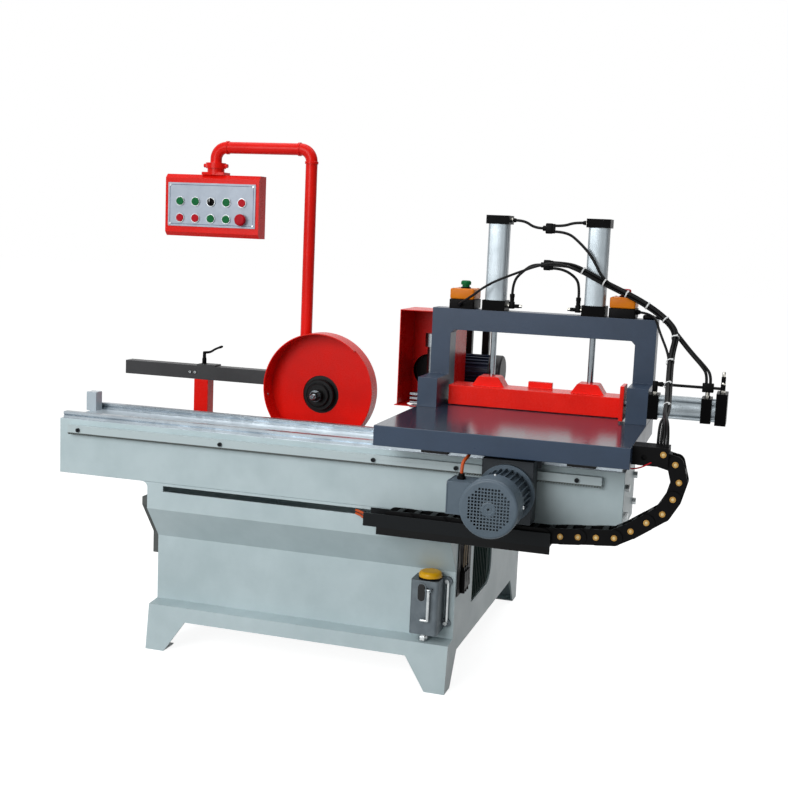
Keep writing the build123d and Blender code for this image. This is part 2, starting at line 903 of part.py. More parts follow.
# Air valve island on its plate on the right side
with BuildPart() as valve_block:
    valve_y = front_y + valve_from_front
    valve_plate_y = front_y + valve_plate_from_front
    slab(side_x, side_x + valve_plate_thickness, valve_plate_y, valve_plate_y + valve_plate_length,
         valve_plate_low, valve_plate_low + valve_plate_height)
    slab(side_x, side_x + valve_stand, valve_y, valve_y + valve_length,
         valve_low, valve_low + valve_base_height)
    valve_pitch = valve_length / valve_count
    for index in range(valve_count):
        valve_front = valve_y + index * valve_pitch
        slab(side_x + valve_gap, side_x + valve_stand, valve_front, valve_front + valve_pitch - valve_gap,
             valve_low + valve_base_height, valve_low + valve_base_height + valve_height)
        slab(side_x + valve_gap, side_x + valve_stand - valve_gap, valve_front + valve_gap,
             valve_front + valve_pitch - 2 * valve_gap, valve_low + valve_base_height + valve_height,
             valve_low + valve_base_height + valve_height + coil_height)
        upright(side_x + valve_stand / 2, valve_front + (valve_pitch - valve_gap) / 2,
                valve_low - coil_height, valve_low, fitting_radius)
valve_block.part.label = "valve_block"
export_step(valve_block.part, "parts/valve_block.step")

# Gland for the mains cable in the back wall
with BuildPart() as mains_gland:
    along_y(back_y - 2 * base_sheet, back_y + mains_reach, mains_x, mains_z, mains_radius)
    with BuildSketch(Plane.XZ.offset(-back_y)):
        with Locations((mains_x, mains_z)):
            RegularPolygon(mains_nut, 6, major_radius=False)
    extrude(amount=-mains_reach / 2)
    along_y(back_y - 3 * base_sheet, back_y + mains_reach + free_gap, mains_x, mains_z,
            mains_bore, Mode.SUBTRACT)
mains_gland.part.label = "mains_gland"
export_step(mains_gland.part, "parts/mains_gland.step")

# Post on an arm from the back of the bed, that carries the work stop
stop_post_y = stop_bar_y + stop_bar_side / 2
with BuildPart() as stop_post:
    post_left = stop_post_x - stop_post_width / 2
    slab(post_left, post_left + stop_post_width, bed_back, stop_bar_y + stop_bar_side,
         stop_arm_low, stop_arm_low + stop_arm_height)
    slab(post_left, post_left + stop_post_width, stop_bar_y, stop_bar_y + stop_bar_side,
         stop_arm_low + stop_arm_height, stop_bar_low - slide_gap)
    upright(stop_post_x, stop_post_y, stop_bar_low - 2 * stop_bar_side, stop_bar_low + free_gap,
            clamp_screw_radius + shaft_gap, Mode.SUBTRACT)
stop_post.part.label = "stop_post"
export_step(stop_post.part, "parts/stop_post.step")

stop_bar_high = stop_bar_low + stop_bar_side
with BuildPart() as stop_bar:
    slab(stop_bar_left, stop_bar_left + stop_bar_length, stop_bar_y, stop_bar_y + stop_bar_side,
         stop_bar_low, stop_bar_high)
    plate_left = stop_post_x - clamp_plate_left
    slab(plate_left, plate_left + clamp_plate_length, stop_bar_y,
         stop_bar_y + stop_bar_side, stop_bar_high, stop_bar_high + clamp_plate_thickness)
    with BuildSketch(Plane.XY.offset(stop_bar_low)):
        with Locations((stop_post_x, stop_post_y)):
            SlotCenterToCenter(2 * stop_travel, 2 * (clamp_screw_radius + turn_gap), rotation=90)
    extrude(amount=stop_bar_side + clamp_plate_thickness, mode=Mode.SUBTRACT)
    first_screw = stop_post_x - stop_screw_left
    for screw_x in (first_screw, first_screw + stop_screw_pitch):
        along_y(stop_bar_y - screw_head_height / 2, stop_bar_y, screw_x,
                stop_bar_low + stop_bar_side / 2, stop_screw_radius)
stop_bar.part.label = "stop_bar"
export_step(stop_bar.part, "parts/stop_bar.step")

with BuildPart() as clamp_lever:
    hub_low = stop_bar_high + clamp_plate_thickness + slide_gap
    hub_high = hub_low + lever_hub_height
    upright(stop_post_x, stop_post_y, stop_bar_low - stop_bar_side, hub_low, clamp_screw_radius)
    upright(stop_post_x, stop_post_y, hub_low, hub_high, lever_hub_radius)
    with BuildLine() as arm_path:
        Line((stop_post_x, stop_post_y, hub_high - lever_arm_radius),
             (stop_post_x + lever_arm_reach, stop_post_y, hub_high - lever_arm_radius + lever_arm_rise))
    with BuildSketch(Plane(origin=arm_path.line @ 0, z_dir=arm_path.line % 0)):
        Circle(lever_arm_radius)
    sweep()
    with Locations(arm_path.line @ 1):
        Sphere(lever_ball_radius)
clamp_lever.part.label = "clamp_lever"
export_step(clamp_lever.part, "parts/clamp_lever.step")

# Open dish round the trimming saw, its motor on a pedestal and its arbor
with BuildPart() as saw_hood:
    along_y(saw_hood_y, saw_back, dish_x, dish_z, saw_hood_radius)
    along_y(saw_hood_y - free_gap, saw_back - saw_hood_sheet, dish_x, dish_z,
            saw_hood_radius - saw_hood_sheet, Mode.SUBTRACT)
    along_y(saw_hood_y, saw_back + free_gap, saw_x, saw_z, saw_hole_radius, Mode.SUBTRACT)
    # The rim is lower on the right, below the shoulder of the dish
    step_x = dish_x + saw_hood_radius * math.sin(math.radians(42))
    slab(step_x, dish_x + 2 * saw_hood_radius, saw_hood_y - free_gap, saw_hood_y + saw_rim_step,
         dish_z - 2 * saw_hood_radius, dish_z + 2 * saw_hood_radius, Mode.SUBTRACT)
saw_hood.part.label = "saw_hood"
export_step(saw_hood.part, "parts/saw_hood.step")

with BuildPart() as saw_motor:
    saw_motor_back = saw_motor_y + saw_motor_length
    along_y(saw_back, saw_motor_y, saw_x, saw_z, saw_nose_radius)
    along_y(saw_back, saw_back + saw_plate, saw_x, saw_z, saw_hole_radius + bush_wall)
    along_y(saw_motor_y, saw_motor_back, saw_x, saw_z, saw_motor_radius - fin_height)
    with Locations(Location((saw_x, saw_motor_y, saw_z), (-90, 0, 0))):
        with PolarLocations(saw_motor_radius - fin_height, saw_fin_count):
            Box(2 * fin_height, fin_width, saw_motor_length, align=(Align.CENTER, Align.CENTER, Align.MIN))
    slab(saw_x - pedestal_width / 2, saw_x + pedestal_width / 2, saw_motor_y, saw_motor_y + pedestal_depth,
         base_height, base_height + pedestal_plate)
    for foot_y in (saw_motor_y, saw_motor_y + pedestal_depth - pedestal_plate):
        slab(saw_x - pedestal_width / 2, saw_x + pedestal_width / 2, foot_y, foot_y + pedestal_plate,
             base_height, saw_z - saw_motor_radius / 2)
    along_y(saw_hood_y, saw_motor_y + saw_motor_length / 2, saw_x, saw_z,
            arbor_radius + shaft_gap, Mode.SUBTRACT)
saw_motor.part.label = "saw_motor"
export_step(saw_motor.part, "parts/saw_motor.step")

with BuildPart() as saw_arbor:
    flange_y = saw_back - 2 * arbor_flange
    along_y(flange_y, saw_motor_y + saw_motor_length / 2 - free_gap, saw_x, saw_z, arbor_radius)
    along_y(flange_y, flange_y + arbor_flange, saw_x, saw_z, arbor_flange_radius)
    along_y(flange_y - arbor_collar, flange_y, saw_x, saw_z, arbor_collar_radius)
    nut_y = flange_y - arbor_collar - arbor_spacer
    along_y(nut_y, flange_y - arbor_collar, saw_x, saw_z, arbor_spacer_radius)
    with BuildSketch(Plane.XZ.offset(-nut_y)):
        with Locations((saw_x, saw_z)):
            RegularPolygon(arbor_nut / 2, 6, major_radius=False)
    extrude(amount=arbor_nut_height)
    along_y(nut_y - arbor_nut_height - arbor_nose, nut_y, saw_x, saw_z, arbor_radius / 1.5)
saw_arbor.part.label = "saw_arbor"
export_step(saw_arbor.part, "parts/saw_arbor.step")

# Sheet hood over the cutters, open to the front, with a dust spigot at the back
with BuildPart() as cutter_hood:
    slab(hood_left, hood_right, hood_y, hood_back, hood_low, hood_high)
    slab(hood_left + hood_sheet, hood_right - hood_sheet, hood_y - free_gap, hood_back - hood_sheet,
         hood_low + hood_sheet, hood_high - hood_sheet, Mode.SUBTRACT)
    slab(hood_left - hood_lip, hood_right + hood_lip, hood_y, hood_back, hood_low, hood_low + hood_sheet)
    upright(cutter_x, cutter_y, hood_low - free_gap, hood_low + 2 * hood_sheet,
            cutter_radius + hood_hole_gap, Mode.SUBTRACT)
    along_y(hood_back, hood_back + duct_length, duct_x, duct_z, duct_radius)
    along_y(hood_back - 2 * hood_sheet, hood_back + duct_length + free_gap, duct_x, duct_z,
            duct_radius - duct_wall, Mode.SUBTRACT)
    # Closed damper plate halfway in the outlet
    damper_y = hood_back + duct_length / 2
    along_y(damper_y, damper_y + damper_sheet, duct_x, duct_z, duct_radius - duct_wall / 2)
    # Strap from the hood to a bar across both lift posts
    post_front = front_y + lift_post_from_front - lift_post_side / 2
    strap_left = lift_post_left - lift_post_side / 2
    strap_top = hood_high - 5 * hood_sheet
    slab(strap_left, strap_left + lift_post_side, hood_back, post_front,
         strap_top - lift_post_side, strap_top)
    slab(strap_left, strap_left + lift_post_pitch + lift_post_side, post_front - lift_bracket,
         post_front, strap_top - lift_post_side, strap_top)
cutter_hood.part.label = "cutter_hood"
export_step(cutter_hood.part, "parts/cutter_hood.step")

# Square posts behind the hood, and the motor that raises the spindle
lift_post_y = front_y + lift_post_from_front
with BuildPart() as lift_posts:
    for index in range(2):
        post_x = lift_post_left + index * lift_post_pitch
        slab(post_x - lift_post_side / 2, post_x + lift_post_side / 2, lift_post_y - lift_post_side / 2,
             lift_post_y + lift_post_side / 2, base_height, hood_high - 5 * hood_sheet)
    slab(lift_post_left - lift_post_side, lift_post_left + lift_post_pitch + lift_post_side,
         lift_post_y - lift_post_side, lift_post_y + lift_post_side,
         base_height, base_height + lift_bracket)
lift_posts.part.label = "lift_posts"
export_step(lift_posts.part, "parts/lift_posts.step")

lift_motor_y = front_y + lift_motor_from_front
with BuildPart() as lift_motor:
    body_right = lift_motor_left + lift_motor_length - lift_cover_length
    along_x(lift_motor_left, body_right, lift_motor_y, lift_motor_z, lift_motor_radius - fin_height)
    with Locations(Location((lift_motor_left, lift_motor_y, lift_motor_z), (0, 90, 0))):
        with PolarLocations(lift_motor_radius - fin_height, saw_fin_count):
            Box(1.8 * fin_height, fin_width, lift_motor_length - lift_cover_length,
                align=(Align.CENTER, Align.CENTER, Align.MIN))
    along_x(body_right, body_right + lift_cover_length, lift_motor_y, lift_motor_z, lift_motor_radius)
    fillet(edges().filter_by(GeomType.CIRCLE).group_by(Axis.X)[-1], fin_height)
    bracket_top = lift_motor_z - lift_motor_radius + fin_height / 2
    slab(lift_motor_left, body_right, lift_motor_y - lift_motor_radius / 2,
         lift_post_y - lift_post_side / 2, bracket_top - lift_bracket, bracket_top)
lift_motor.part.label = "lift_motor"
export_step(lift_motor.part, "parts/lift_motor.step")

# Cutter quill with its motor below the deck: both rise together
with BuildPart() as spindle_housing:
    upright(cutter_x, cutter_y, quill_low, quill_high, quill_radius)
    upright(cutter_x, cutter_y, quill_low - free_gap, quill_high + free_gap,
            shaft_radius + shaft_gap, Mode.SUBTRACT)
spindle_housing.part.label = "spindle_housing"
export_step(spindle_housing.part, "parts/spindle_housing.step")

with BuildPart() as cutter_motor:
    core = cutter_motor_radius - cutter_motor_fin
    upright(cutter_x, cutter_y, cutter_motor_low, quill_low, core)
    with Locations((cutter_x, cutter_y, cutter_motor_low + cutter_motor_fin)):
        with PolarLocations(core, cutter_motor_fins):
            Box(2 * cutter_motor_fin, fin_width, quill_low - cutter_motor_low - 4 * cutter_motor_fin,
                align=(Align.CENTER, Align.CENTER, Align.MIN))
    upright(cutter_x, cutter_y, quill_low - 2 * cutter_motor_fin, quill_low, cutter_motor_radius)
    upright(cutter_x, cutter_y, cutter_motor_low + cutter_motor_radius, quill_low + free_gap,
            shaft_radius + shaft_gap, Mode.SUBTRACT)
cutter_motor.part.label = "cutter_motor"
export_step(cutter_motor.part, "parts/cutter_motor.step")

with BuildPart() as cutter_shaft:
    upright(cutter_x, cutter_y, cutter_motor_low + cutter_motor_radius + free_gap,
            cutter_high + shaft_stand, shaft_radius)
    upright(cutter_x, cutter_y, quill_high + free_gap, cutter_low, cutter_nut_radius)
    upright(cutter_x, cutter_y, cutter_high, cutter_high + cutter_nut_height, cutter_nut_radius)
    upright(cutter_x, cutter_y, cutter_high + shaft_stand,
            cutter_high + shaft_stand + top_nut_height, top_nut_radius)
cutter_shaft.part.label = "cutter_shaft"
export_step(cutter_shaft.part, "parts/cutter_shaft.step")

# Stacked finger cutters: wings of each disc are turned against the next
with BuildPart() as cutter_stack:
    upright(cutter_x, cutter_y, cutter_low, cutter_high, cutter_root)
    for layer in range(cutter_layers):
        layer_z = cutter_low + layer * cutter_layer
        with Locations(Location((cutter_x, cutter_y, layer_z), (0, 0, layer * 90))):
            with PolarLocations(cutter_radius / 2, cutter_wings):
                Box(cutter_radius, cutter_root, cutter_layer, align=(Align.CENTER, Align.CENTER, Align.MIN))
    upright(cutter_x, cutter_y, cutter_low - free_gap, cutter_high + free_gap, shaft_radius, Mode.SUBTRACT)
cutter_stack.part.label = "cutter_stack"
export_step(cutter_stack.part, "parts/cutter_stack.step")

# Bent pipe that carries the control panel
with BuildPart() as pendant_arm:
    with BuildLine() as pipe_path:
        FilletPolyline(
            (pendant_x, pendant_y, base_height),
            (pendant_x, pendant_y, pendant_height),
            (panel_x, pendant_y, pendant_height),
            (panel_x, pendant_y, panel_top_z + collar_height),
            radius=pendant_bend,
        )
    with BuildSketch(Plane.XY.offset(base_height)):
        with Locations((pendant_x, pendant_y)):
            Circle(pipe_radius)
            Circle(pipe_radius - pipe_wall, mode=Mode.SUBTRACT)
    sweep()
    with BuildSketch(Plane.XY.offset(base_height)):
        with Locations((pendant_x, pendant_y)):
            Circle(pendant_foot_radius)
            Circle(pipe_radius, mode=Mode.SUBTRACT)
    extrude(amount=pendant_foot)
    upright(panel_x, pendant_y, panel_top_z + slide_gap, panel_top_z + collar_height, pipe_radius)
    # Beads at the ends of the two elbows, and the bore of the straight runs cleared again
    bead_radius = pipe_radius + elbow_bead
    arm_left = panel_x + pendant_bend
    arm_right = pendant_x - pendant_bend
    bead_top = pendant_height - pendant_bend
    along_x(arm_left, arm_left + elbow_bead_length, pendant_y, pendant_height, bead_radius)
    along_x(arm_right - elbow_bead_length, arm_right, pendant_y, pendant_height, bead_radius)
    upright(pendant_x, pendant_y, bead_top - elbow_bead_length, bead_top, bead_radius)
    along_x(arm_left, arm_right, pendant_y, pendant_height, pipe_radius - pipe_wall, Mode.SUBTRACT)
    upright(pendant_x, pendant_y, base_height - free_gap, bead_top, pipe_radius - pipe_wall, Mode.SUBTRACT)
pendant_arm.part.label = "pendant_arm"
export_step(pendant_arm.part, "parts/pendant_arm.step")

# Control panel: folded box with a clamp collar, face plate and bezels
button_spots = []
for row_z in (low_row, high_row):
    for column in range(5):
        button_spots.append((button_left + column * button_pitch, row_z))

with BuildPart() as panel_box:
    slab(panel_x - panel_width / 2, panel_x + panel_width / 2, panel_front, panel_front + panel_depth,
         panel_low, panel_top_z)
    chamfer(edges().filter_by(Axis.X).group_by(Axis.Y)[0], panel_bevel)
    slab(panel_x - panel_width / 2 + panel_sheet, panel_x + panel_width / 2 - panel_sheet,
         panel_front + panel_sheet, panel_front + panel_depth - panel_sheet,
         panel_low + panel_bevel, panel_top_z - panel_bevel, Mode.SUBTRACT)
    upright(panel_x, pendant_y, panel_top_z, panel_top_z + collar_height, collar_radius)
    slab(panel_x - collar_plate_width / 2, panel_x + collar_plate_width / 2,
         pendant_y - collar_plate_depth / 2, pendant_y + collar_plate_depth / 2,
         panel_top_z, panel_top_z + collar_flange)
    collar_top = panel_top_z + collar_height
    upright(panel_x, pendant_y, collar_top - 2 * collar_flange, collar_top, collar_radius + collar_rib)
    along_x(panel_x - collar_radius - collar_screw_reach, panel_x + collar_radius + collar_screw_reach,
            pendant_y, collar_top - collar_flange, collar_screw_radius)
    upright(panel_x, pendant_y, panel_top_z, panel_top_z + collar_height + free_gap,
            pipe_radius + slide_gap, Mode.SUBTRACT)
    for spot_x, spot_z in button_spots:
        along_y(panel_front - free_gap, panel_front + 2 * panel_sheet, spot_x, spot_z,
                button_radius + slide_gap, Mode.SUBTRACT)
panel_box.part.label = "panel_box"
export_step(panel_box.part, "parts/panel_box.step")

with BuildPart() as panel_faceplate:
    slab(panel_x - face_width / 2, panel_x + face_width / 2, face_front, panel_front,
         face_bottom, face_bottom + face_height)
    for spot_x, spot_z in button_spots:
        along_y(face_front - free_gap, panel_front + free_gap, spot_x, spot_z,
                button_radius + slide_gap, Mode.SUBTRACT)
panel_faceplate.part.label = "panel_faceplate"
export_step(panel_faceplate.part, "parts/panel_faceplate.step")

with BuildPart() as button_bezels:
    for spot_x, spot_z in button_spots:
        along_y(face_front - bezel_height, face_front, spot_x, spot_z, bezel_radius)
        along_y(face_front - bezel_height - free_gap, face_front + free_gap, spot_x, spot_z,
                button_radius + slide_gap, Mode.SUBTRACT)
button_bezels.part.label = "button_bezels"
export_step(button_bezels.part, "parts/button_bezels.step")

# Eight push buttons, the selector and the emergency stop
bezel_front = face_front - bezel_height
push_names = {
    0: "feed_stop_button",
    1: "cutter_stop_button",
    2: "clamp_button",
    3: "release_button",
    5: "saw_start_button",
    6: "cutter_start_button",
    8: "feed_start_button",
    9: "saw_stop_button",
}
for index, push_name in push_names.items():
    spot_x, spot_z = button_spots[index]
    with BuildPart() as push_button:
        along_y(bezel_front - button_proud, panel_front + button_stem, spot_x, spot_z, button_radius)
        fillet(edges().filter_by(GeomType.CIRCLE).group_by(Axis.Y)[0], free_gap)
    push_button.part.label = push_name
    export_step(push_button.part, "parts/" + push_name + ".step")

with BuildPart() as mode_selector:
    spot_x, spot_z = button_spots[7]
    along_y(bezel_front - slide_gap, panel_front + button_stem, spot_x, spot_z, button_radius)
    along_y(bezel_front - knob_height / 3, bezel_front - slide_gap, spot_x, spot_z, knob_radius)
    slab(spot_x - knob_grip / 2, spot_x + knob_grip / 2, bezel_front - knob_height,
         bezel_front - knob_height / 3, spot_z - knob_radius, spot_z + knob_radius)
mode_selector.part.label = "mode_selector"
export_step(mode_selector.part, "parts/mode_selector.step")

with BuildPart() as emergency_stop:
    spot_x, spot_z = button_spots[4]
    head_y = bezel_front - stop_stand
    along_y(head_y, panel_front + button_stem, spot_x, spot_z, stop_stem)
    along_y(head_y - mushroom_height, head_y, spot_x, spot_z, mushroom_radius)
    fillet(edges().filter_by(GeomType.CIRCLE).group_by(Axis.Y)[0], mushroom_height / 2)
emergency_stop.part.label = "emergency_stop"
export_step(emergency_stop.part, "parts/emergency_stop.step")

# Carriage table: plate with aprons, and pads over the rail blocks
chain_window = chain_width / 2 + tray_side_gap
with BuildPart() as carriage_table:
    slab(table_left, table_right, table_front, table_back, apron_bottom, table_top)
    slab(table_left + table_plate, table_right - table_plate, table_front + table_plate,
         table_back - table_plate, apron_bottom - free_gap, table_under, Mode.SUBTRACT)
    for rail_y in (front_rail_y, back_rail_y):
        slab(table_left + table_plate, table_right - table_plate, rail_y - pad_width / 2,
             rail_y + pad_width / 2, pad_bottom, table_under)
    slab(table_right - 2 * table_plate, table_right + free_gap, chain_y - chain_window,
         chain_y + chain_window, apron_bottom - free_gap, table_under, Mode.SUBTRACT)
carriage_table.part.label = "carriage_table"
export_step(carriage_table.part, "parts/carriage_table.step")

# Four rail blocks
block_xs = (table_left + block_from_end, table_right - block_from_end)
with BuildPart() as bearing_blocks:
    for rail_y in (front_rail_y, back_rail_y):
        for block_x in block_xs:
            slab(block_x - block_length / 2, block_x + block_length / 2, rail_y - block_width / 2,
                 rail_y + block_width / 2, bed_top + 4 * free_gap, pad_bottom)
            slab(block_x - block_length, block_x + block_length, rail_y - rail_width / 2 - slide_gap,
                 rail_y + rail_width / 2 + slide_gap, bed_top, bed_top + rail_height + slide_gap,
                 Mode.SUBTRACT)
bearing_blocks.part.label = "bearing_blocks"
export_step(bearing_blocks.part, "parts/bearing_blocks.step")

# Welded gantry: two posts, a cross beam and the shelves in front of the posts
with BuildPart() as gantry_frame:
    slab(gantry_left, gantry_right, gantry_front, gantry_back, table_top, gantry_top)
    slab(gantry_left + post_width, gantry_right - post_width, gantry_front - free_gap,
         gantry_back + free_gap, table_top - free_gap, gantry_top - crossbeam_height, Mode.SUBTRACT)
    for side_edge in edges().filter_by(Axis.Y).group_by(Axis.Z)[-2].sort_by(Axis.X):
        chamfer(side_edge, corner_chamfer)
    slab(gantry_left, gantry_left + post_width, gantry_front - shelf_depth, gantry_front,
         table_top, table_top + left_shelf_height)
    slab(gantry_right - post_width, gantry_right, gantry_front - shelf_depth, gantry_front,
         table_top, table_top + right_shelf_height)
    for cylinder_x in cylinder_xs:
        upright(cylinder_x, cylinder_y, gantry_top - crossbeam_height - free_gap, gantry_top + free_gap,
                rod_radius + free_gap, Mode.SUBTRACT)
    along_x(gantry_right - post_width - free_gap, gantry_right + free_gap, pusher_y, pusher_z,
            rod_radius + free_gap, Mode.SUBTRACT)
gantry_frame.part.label = "gantry_frame"
export_step(gantry_frame.part, "parts/gantry_frame.step")

# Aluminium barrels: two upright profiles with bulged sides and the round side barrels
with BuildPart() as cylinder_barrels:
    for cylinder_x in cylinder_xs:
        with BuildSketch(Plane((cylinder_x, cylinder_y, low_cap_top))):
            with BuildLine():
                middle = barrel_side / 2
                corner = middle - barrel_bulge
                ThreePointArc((corner, corner), (0, middle), (-corner, corner))
                ThreePointArc((-corner, corner), (-middle, 0), (-corner, -corner))
                ThreePointArc((-corner, -corner), (0, -middle), (corner, -corner))
                ThreePointArc((corner, -corner), (middle, 0), (corner, corner))
            make_face()
            fillet(vertices(), barrel_corner)
            for side in (-1, 1):
                with Locations((side * middle, -groove_pitch / 2), (side * middle, groove_pitch / 2)):
                    Rectangle(2 * groove_depth, groove_width, mode=Mode.SUBTRACT)
            Circle(bore_radius - groove_depth, mode=Mode.SUBTRACT)
        extrude(amount=barrel_length)
    along_x(side_barrel_left, side_barrel_right, pusher_y, pusher_z, side_barrel_radius)
    along_x(second_left, end_cap_left, pusher_y, pusher_z, side_second_radius)
    along_x(side_barrel_left - free_gap, side_barrel_right + free_gap, pusher_y, pusher_z,
            bore_radius - groove_depth, Mode.SUBTRACT)
    for side_y in (-tie_rod_pitch / 2, tie_rod_pitch / 2):
        for side_z in (-tie_rod_pitch / 2, tie_rod_pitch / 2):
            rod_y = pusher_y + side_y
            rod_z = pusher_z + side_z
            along_x(side_barrel_left, side_barrel_right, rod_y, rod_z, tie_rod_radius)
            along_x(second_left, end_cap_left, rod_y, rod_z, tie_rod_radius)
cylinder_barrels.part.label = "cylinder_barrels"
export_step(cylinder_barrels.part, "parts/cylinder_barrels.step")

# End caps with sunk tie nuts
with BuildPart() as cylinder_caps:
    for cylinder_x in cylinder_xs:
        for cap_low, cap_high in ((gantry_top, low_cap_top), (barrel_top, cylinder_top)):
            slab(cylinder_x - cap_side / 2, cylinder_x + cap_side / 2, cylinder_y - cap_side / 2,
                 cylinder_y + cap_side / 2, cap_low, cap_high)
        upright(cylinder_x, cylinder_y, gantry_top - free_gap, low_cap_top + free_gap,
                rod_radius + shaft_gap, Mode.SUBTRACT)
        with Locations((cylinder_x, cylinder_y, cylinder_top - tie_nut_height / 2)):
            with GridLocations(tie_rod_pitch, tie_rod_pitch, 2, 2):
                Cylinder(tie_nut_radius, tie_nut_height, mode=Mode.SUBTRACT)
    for cap_left, cap_right, side, rise in (
        (gantry_right, side_barrel_left, cap_side, 0),
        (side_barrel_right, second_left, cap_side, 0),
        (end_cap_left, end_cap_right, side_end_side, side_end_rise),
    ):
        slab(cap_left, cap_right, pusher_y - side / 2, pusher_y + side / 2,
             pusher_z + rise - side / 2, pusher_z + rise + side / 2)
    along_x(gantry_right - free_gap, side_barrel_left + free_gap, pusher_y, pusher_z,
            rod_radius + shaft_gap, Mode.SUBTRACT)
cylinder_caps.part.label = "cylinder_caps"
export_step(cylinder_caps.part, "parts/cylinder_caps.step")

# Red clamp beam with its rod pads, and the two piston rods
with BuildPart() as clamp_beam:
    slab(clamp_left, clamp_right, clamp_front, clamp_front + clamp_depth, clamp_bottom, clamp_top)
    with BuildSketch(Plane.XZ.offset(-clamp_front - rod_pad_inset)):
        for cylinder_x in cylinder_xs:
            with BuildLine():
                Polyline(
                    (cylinder_x - rod_pad_base / 2, clamp_top),
                    (cylinder_x + rod_pad_base / 2, clamp_top),
                    (cylinder_x + rod_pad_top / 2, pad_top),
                    (cylinder_x - rod_pad_top / 2, pad_top),
                    close=True,
                )
            make_face()
        fillet(vertices().group_by(Axis.Y)[-1], rod_pad_corner)
    extrude(amount=-rod_pad_depth)
    slab(table_centre - lug_width / 2, table_centre + lug_width / 2, clamp_front + clamp_depth - lug_depth,
         clamp_front + clamp_depth, clamp_top, clamp_top + lug_height)
clamp_beam.part.label = "clamp_beam"
export_step(clamp_beam.part, "parts/clamp_beam.step")

with BuildPart() as clamp_rods:
    piston_low = low_cap_top + 2 * free_gap
    for cylinder_x in cylinder_xs:
        upright(cylinder_x, cylinder_y, pad_top, piston_low, rod_radius)
        upright(cylinder_x, cylinder_y, piston_low, piston_low + piston_height,
                bore_radius - groove_depth - turn_gap)
clamp_rods.part.label = "clamp_rods"
export_step(clamp_rods.part, "parts/clamp_rods.step")

# Red pusher plate in front of the clamp beam, and its piston rod
with BuildPart() as pusher_plate:
    plate_left = pusher_right - pusher_plate_thickness
    slab(plate_left, pusher_right, pusher_y - pusher_plate_width / 2, pusher_y + pusher_plate_width / 2,
         table_top + pusher_plate_low, table_top + pusher_plate_high)
pusher_plate.part.label = "pusher_plate"
export_step(pusher_plate.part, "parts/pusher_plate.step")

with BuildPart() as pusher_rod:
    piston_right = side_barrel_right - 2 * free_gap
    along_x(pusher_right, piston_right - piston_height, pusher_y, pusher_z, rod_radius)
    along_x(piston_right - piston_height, piston_right, pusher_y, pusher_z,
            bore_radius - groove_depth - turn_gap)
pusher_rod.part.label = "pusher_rod"
export_step(pusher_rod.part, "parts/pusher_rod.step")

# Button boxes on the gantry, each a base and a lid
left_box_x = gantry_left + left_box_from_end + box_width / 2
right_box_x = gantry_right - right_box_from_end - box_width / 2
box_front = gantry_front + box_from_front
box_y = box_front + box_depth / 2
box_top = gantry_top + box_base_height + box_lid_height
with BuildPart() as button_boxes:
    for box_x in (left_box_x, right_box_x):
        slab(box_x - box_width / 2, box_x + box_width / 2, box_front, box_front + box_depth,
             gantry_top, gantry_top + box_base_height)
        slab(box_x - box_width / 2 + free_gap, box_x + box_width / 2 - free_gap,
             box_front + free_gap, box_front + box_depth - free_gap,
             gantry_top + box_base_height, box_top)
    chamfer(faces().filter_by(Axis.Z).group_by(Axis.Z)[-1].edges(), box_lid_chamfer)
    for box_x in (left_box_x, right_box_x):
        upright(box_x, box_y, box_top - plunger_depth - 2 * mushroom_stand, box_top + free_gap,
                mushroom_stem + slide_gap, Mode.SUBTRACT)
button_boxes.part.label = "button_boxes"
export_step(button_boxes.part, "parts/button_boxes.step")

for button_name, box_x, head_radius in (
    ("start_button", left_box_x, start_radius),
    ("stop_button", right_box_x, stop_radius),
):
    with BuildPart() as mushroom:
        head_low = box_top + mushroom_stand
        upright(box_x, box_y, box_top - plunger_depth, head_low, mushroom_stem)
        upright(box_x, box_y, head_low, head_low + mushroom_height, head_radius)
        fillet(edges().filter_by(GeomType.CIRCLE).group_by(Axis.Z)[-1], mushroom_height / 2)
    mushroom.part.label = button_name
    export_step(mushroom.part, "parts/" + button_name + ".step")

# Bracket at the right end of the table that guides the chain
with BuildPart() as chain_bracket:
    bracket_right = table_right + bracket_length
    bracket_low = table_under - bracket_height
    for side in (-1, 1):
        wall_y = chain_y + side * (chain_window + bracket_wall / 2)
        slab(table_right, bracket_right, wall_y - bracket_wall / 2, wall_y + bracket_wall / 2,
             bracket_low, table_top)
        along_y(wall_y - bracket_wall, wall_y + bracket_wall, table_right + bracket_length / 3,
                bracket_low + bracket_height / 2, bracket_hole_radius, Mode.SUBTRACT)
    slab(table_right, bracket_right, chain_y - chain_window, chain_y + chain_window,
         table_under + 2 * free_gap, table_top)
chain_bracket.part.label = "chain_bracket"
export_step(chain_bracket.part, "parts/chain_bracket.step")

# Feed gearbox on a plate from the front pad, motor, fan cover and pinion
with BuildPart() as gearbox:
    pad_front = front_rail_y - pad_width / 2
    slab(drive_x - gearbox_width / 2, drive_x + gearbox_width / 2, gearbox_front, gearbox_back,
         drive_z - gearbox_low, drive_z + gearbox_high)
    slab(drive_x - drive_plate_width / 2, drive_x + drive_plate_width / 2, gearbox_back,
         pad_front, drive_plate_low, table_under)
    along_y(gearbox_front + flange_thickness, gearbox_back + free_gap, drive_x, drive_z,
            pinion_shaft_radius + shaft_gap, Mode.SUBTRACT)
gearbox.part.label = "gearbox"
export_step(gearbox.part, "parts/gearbox.step")

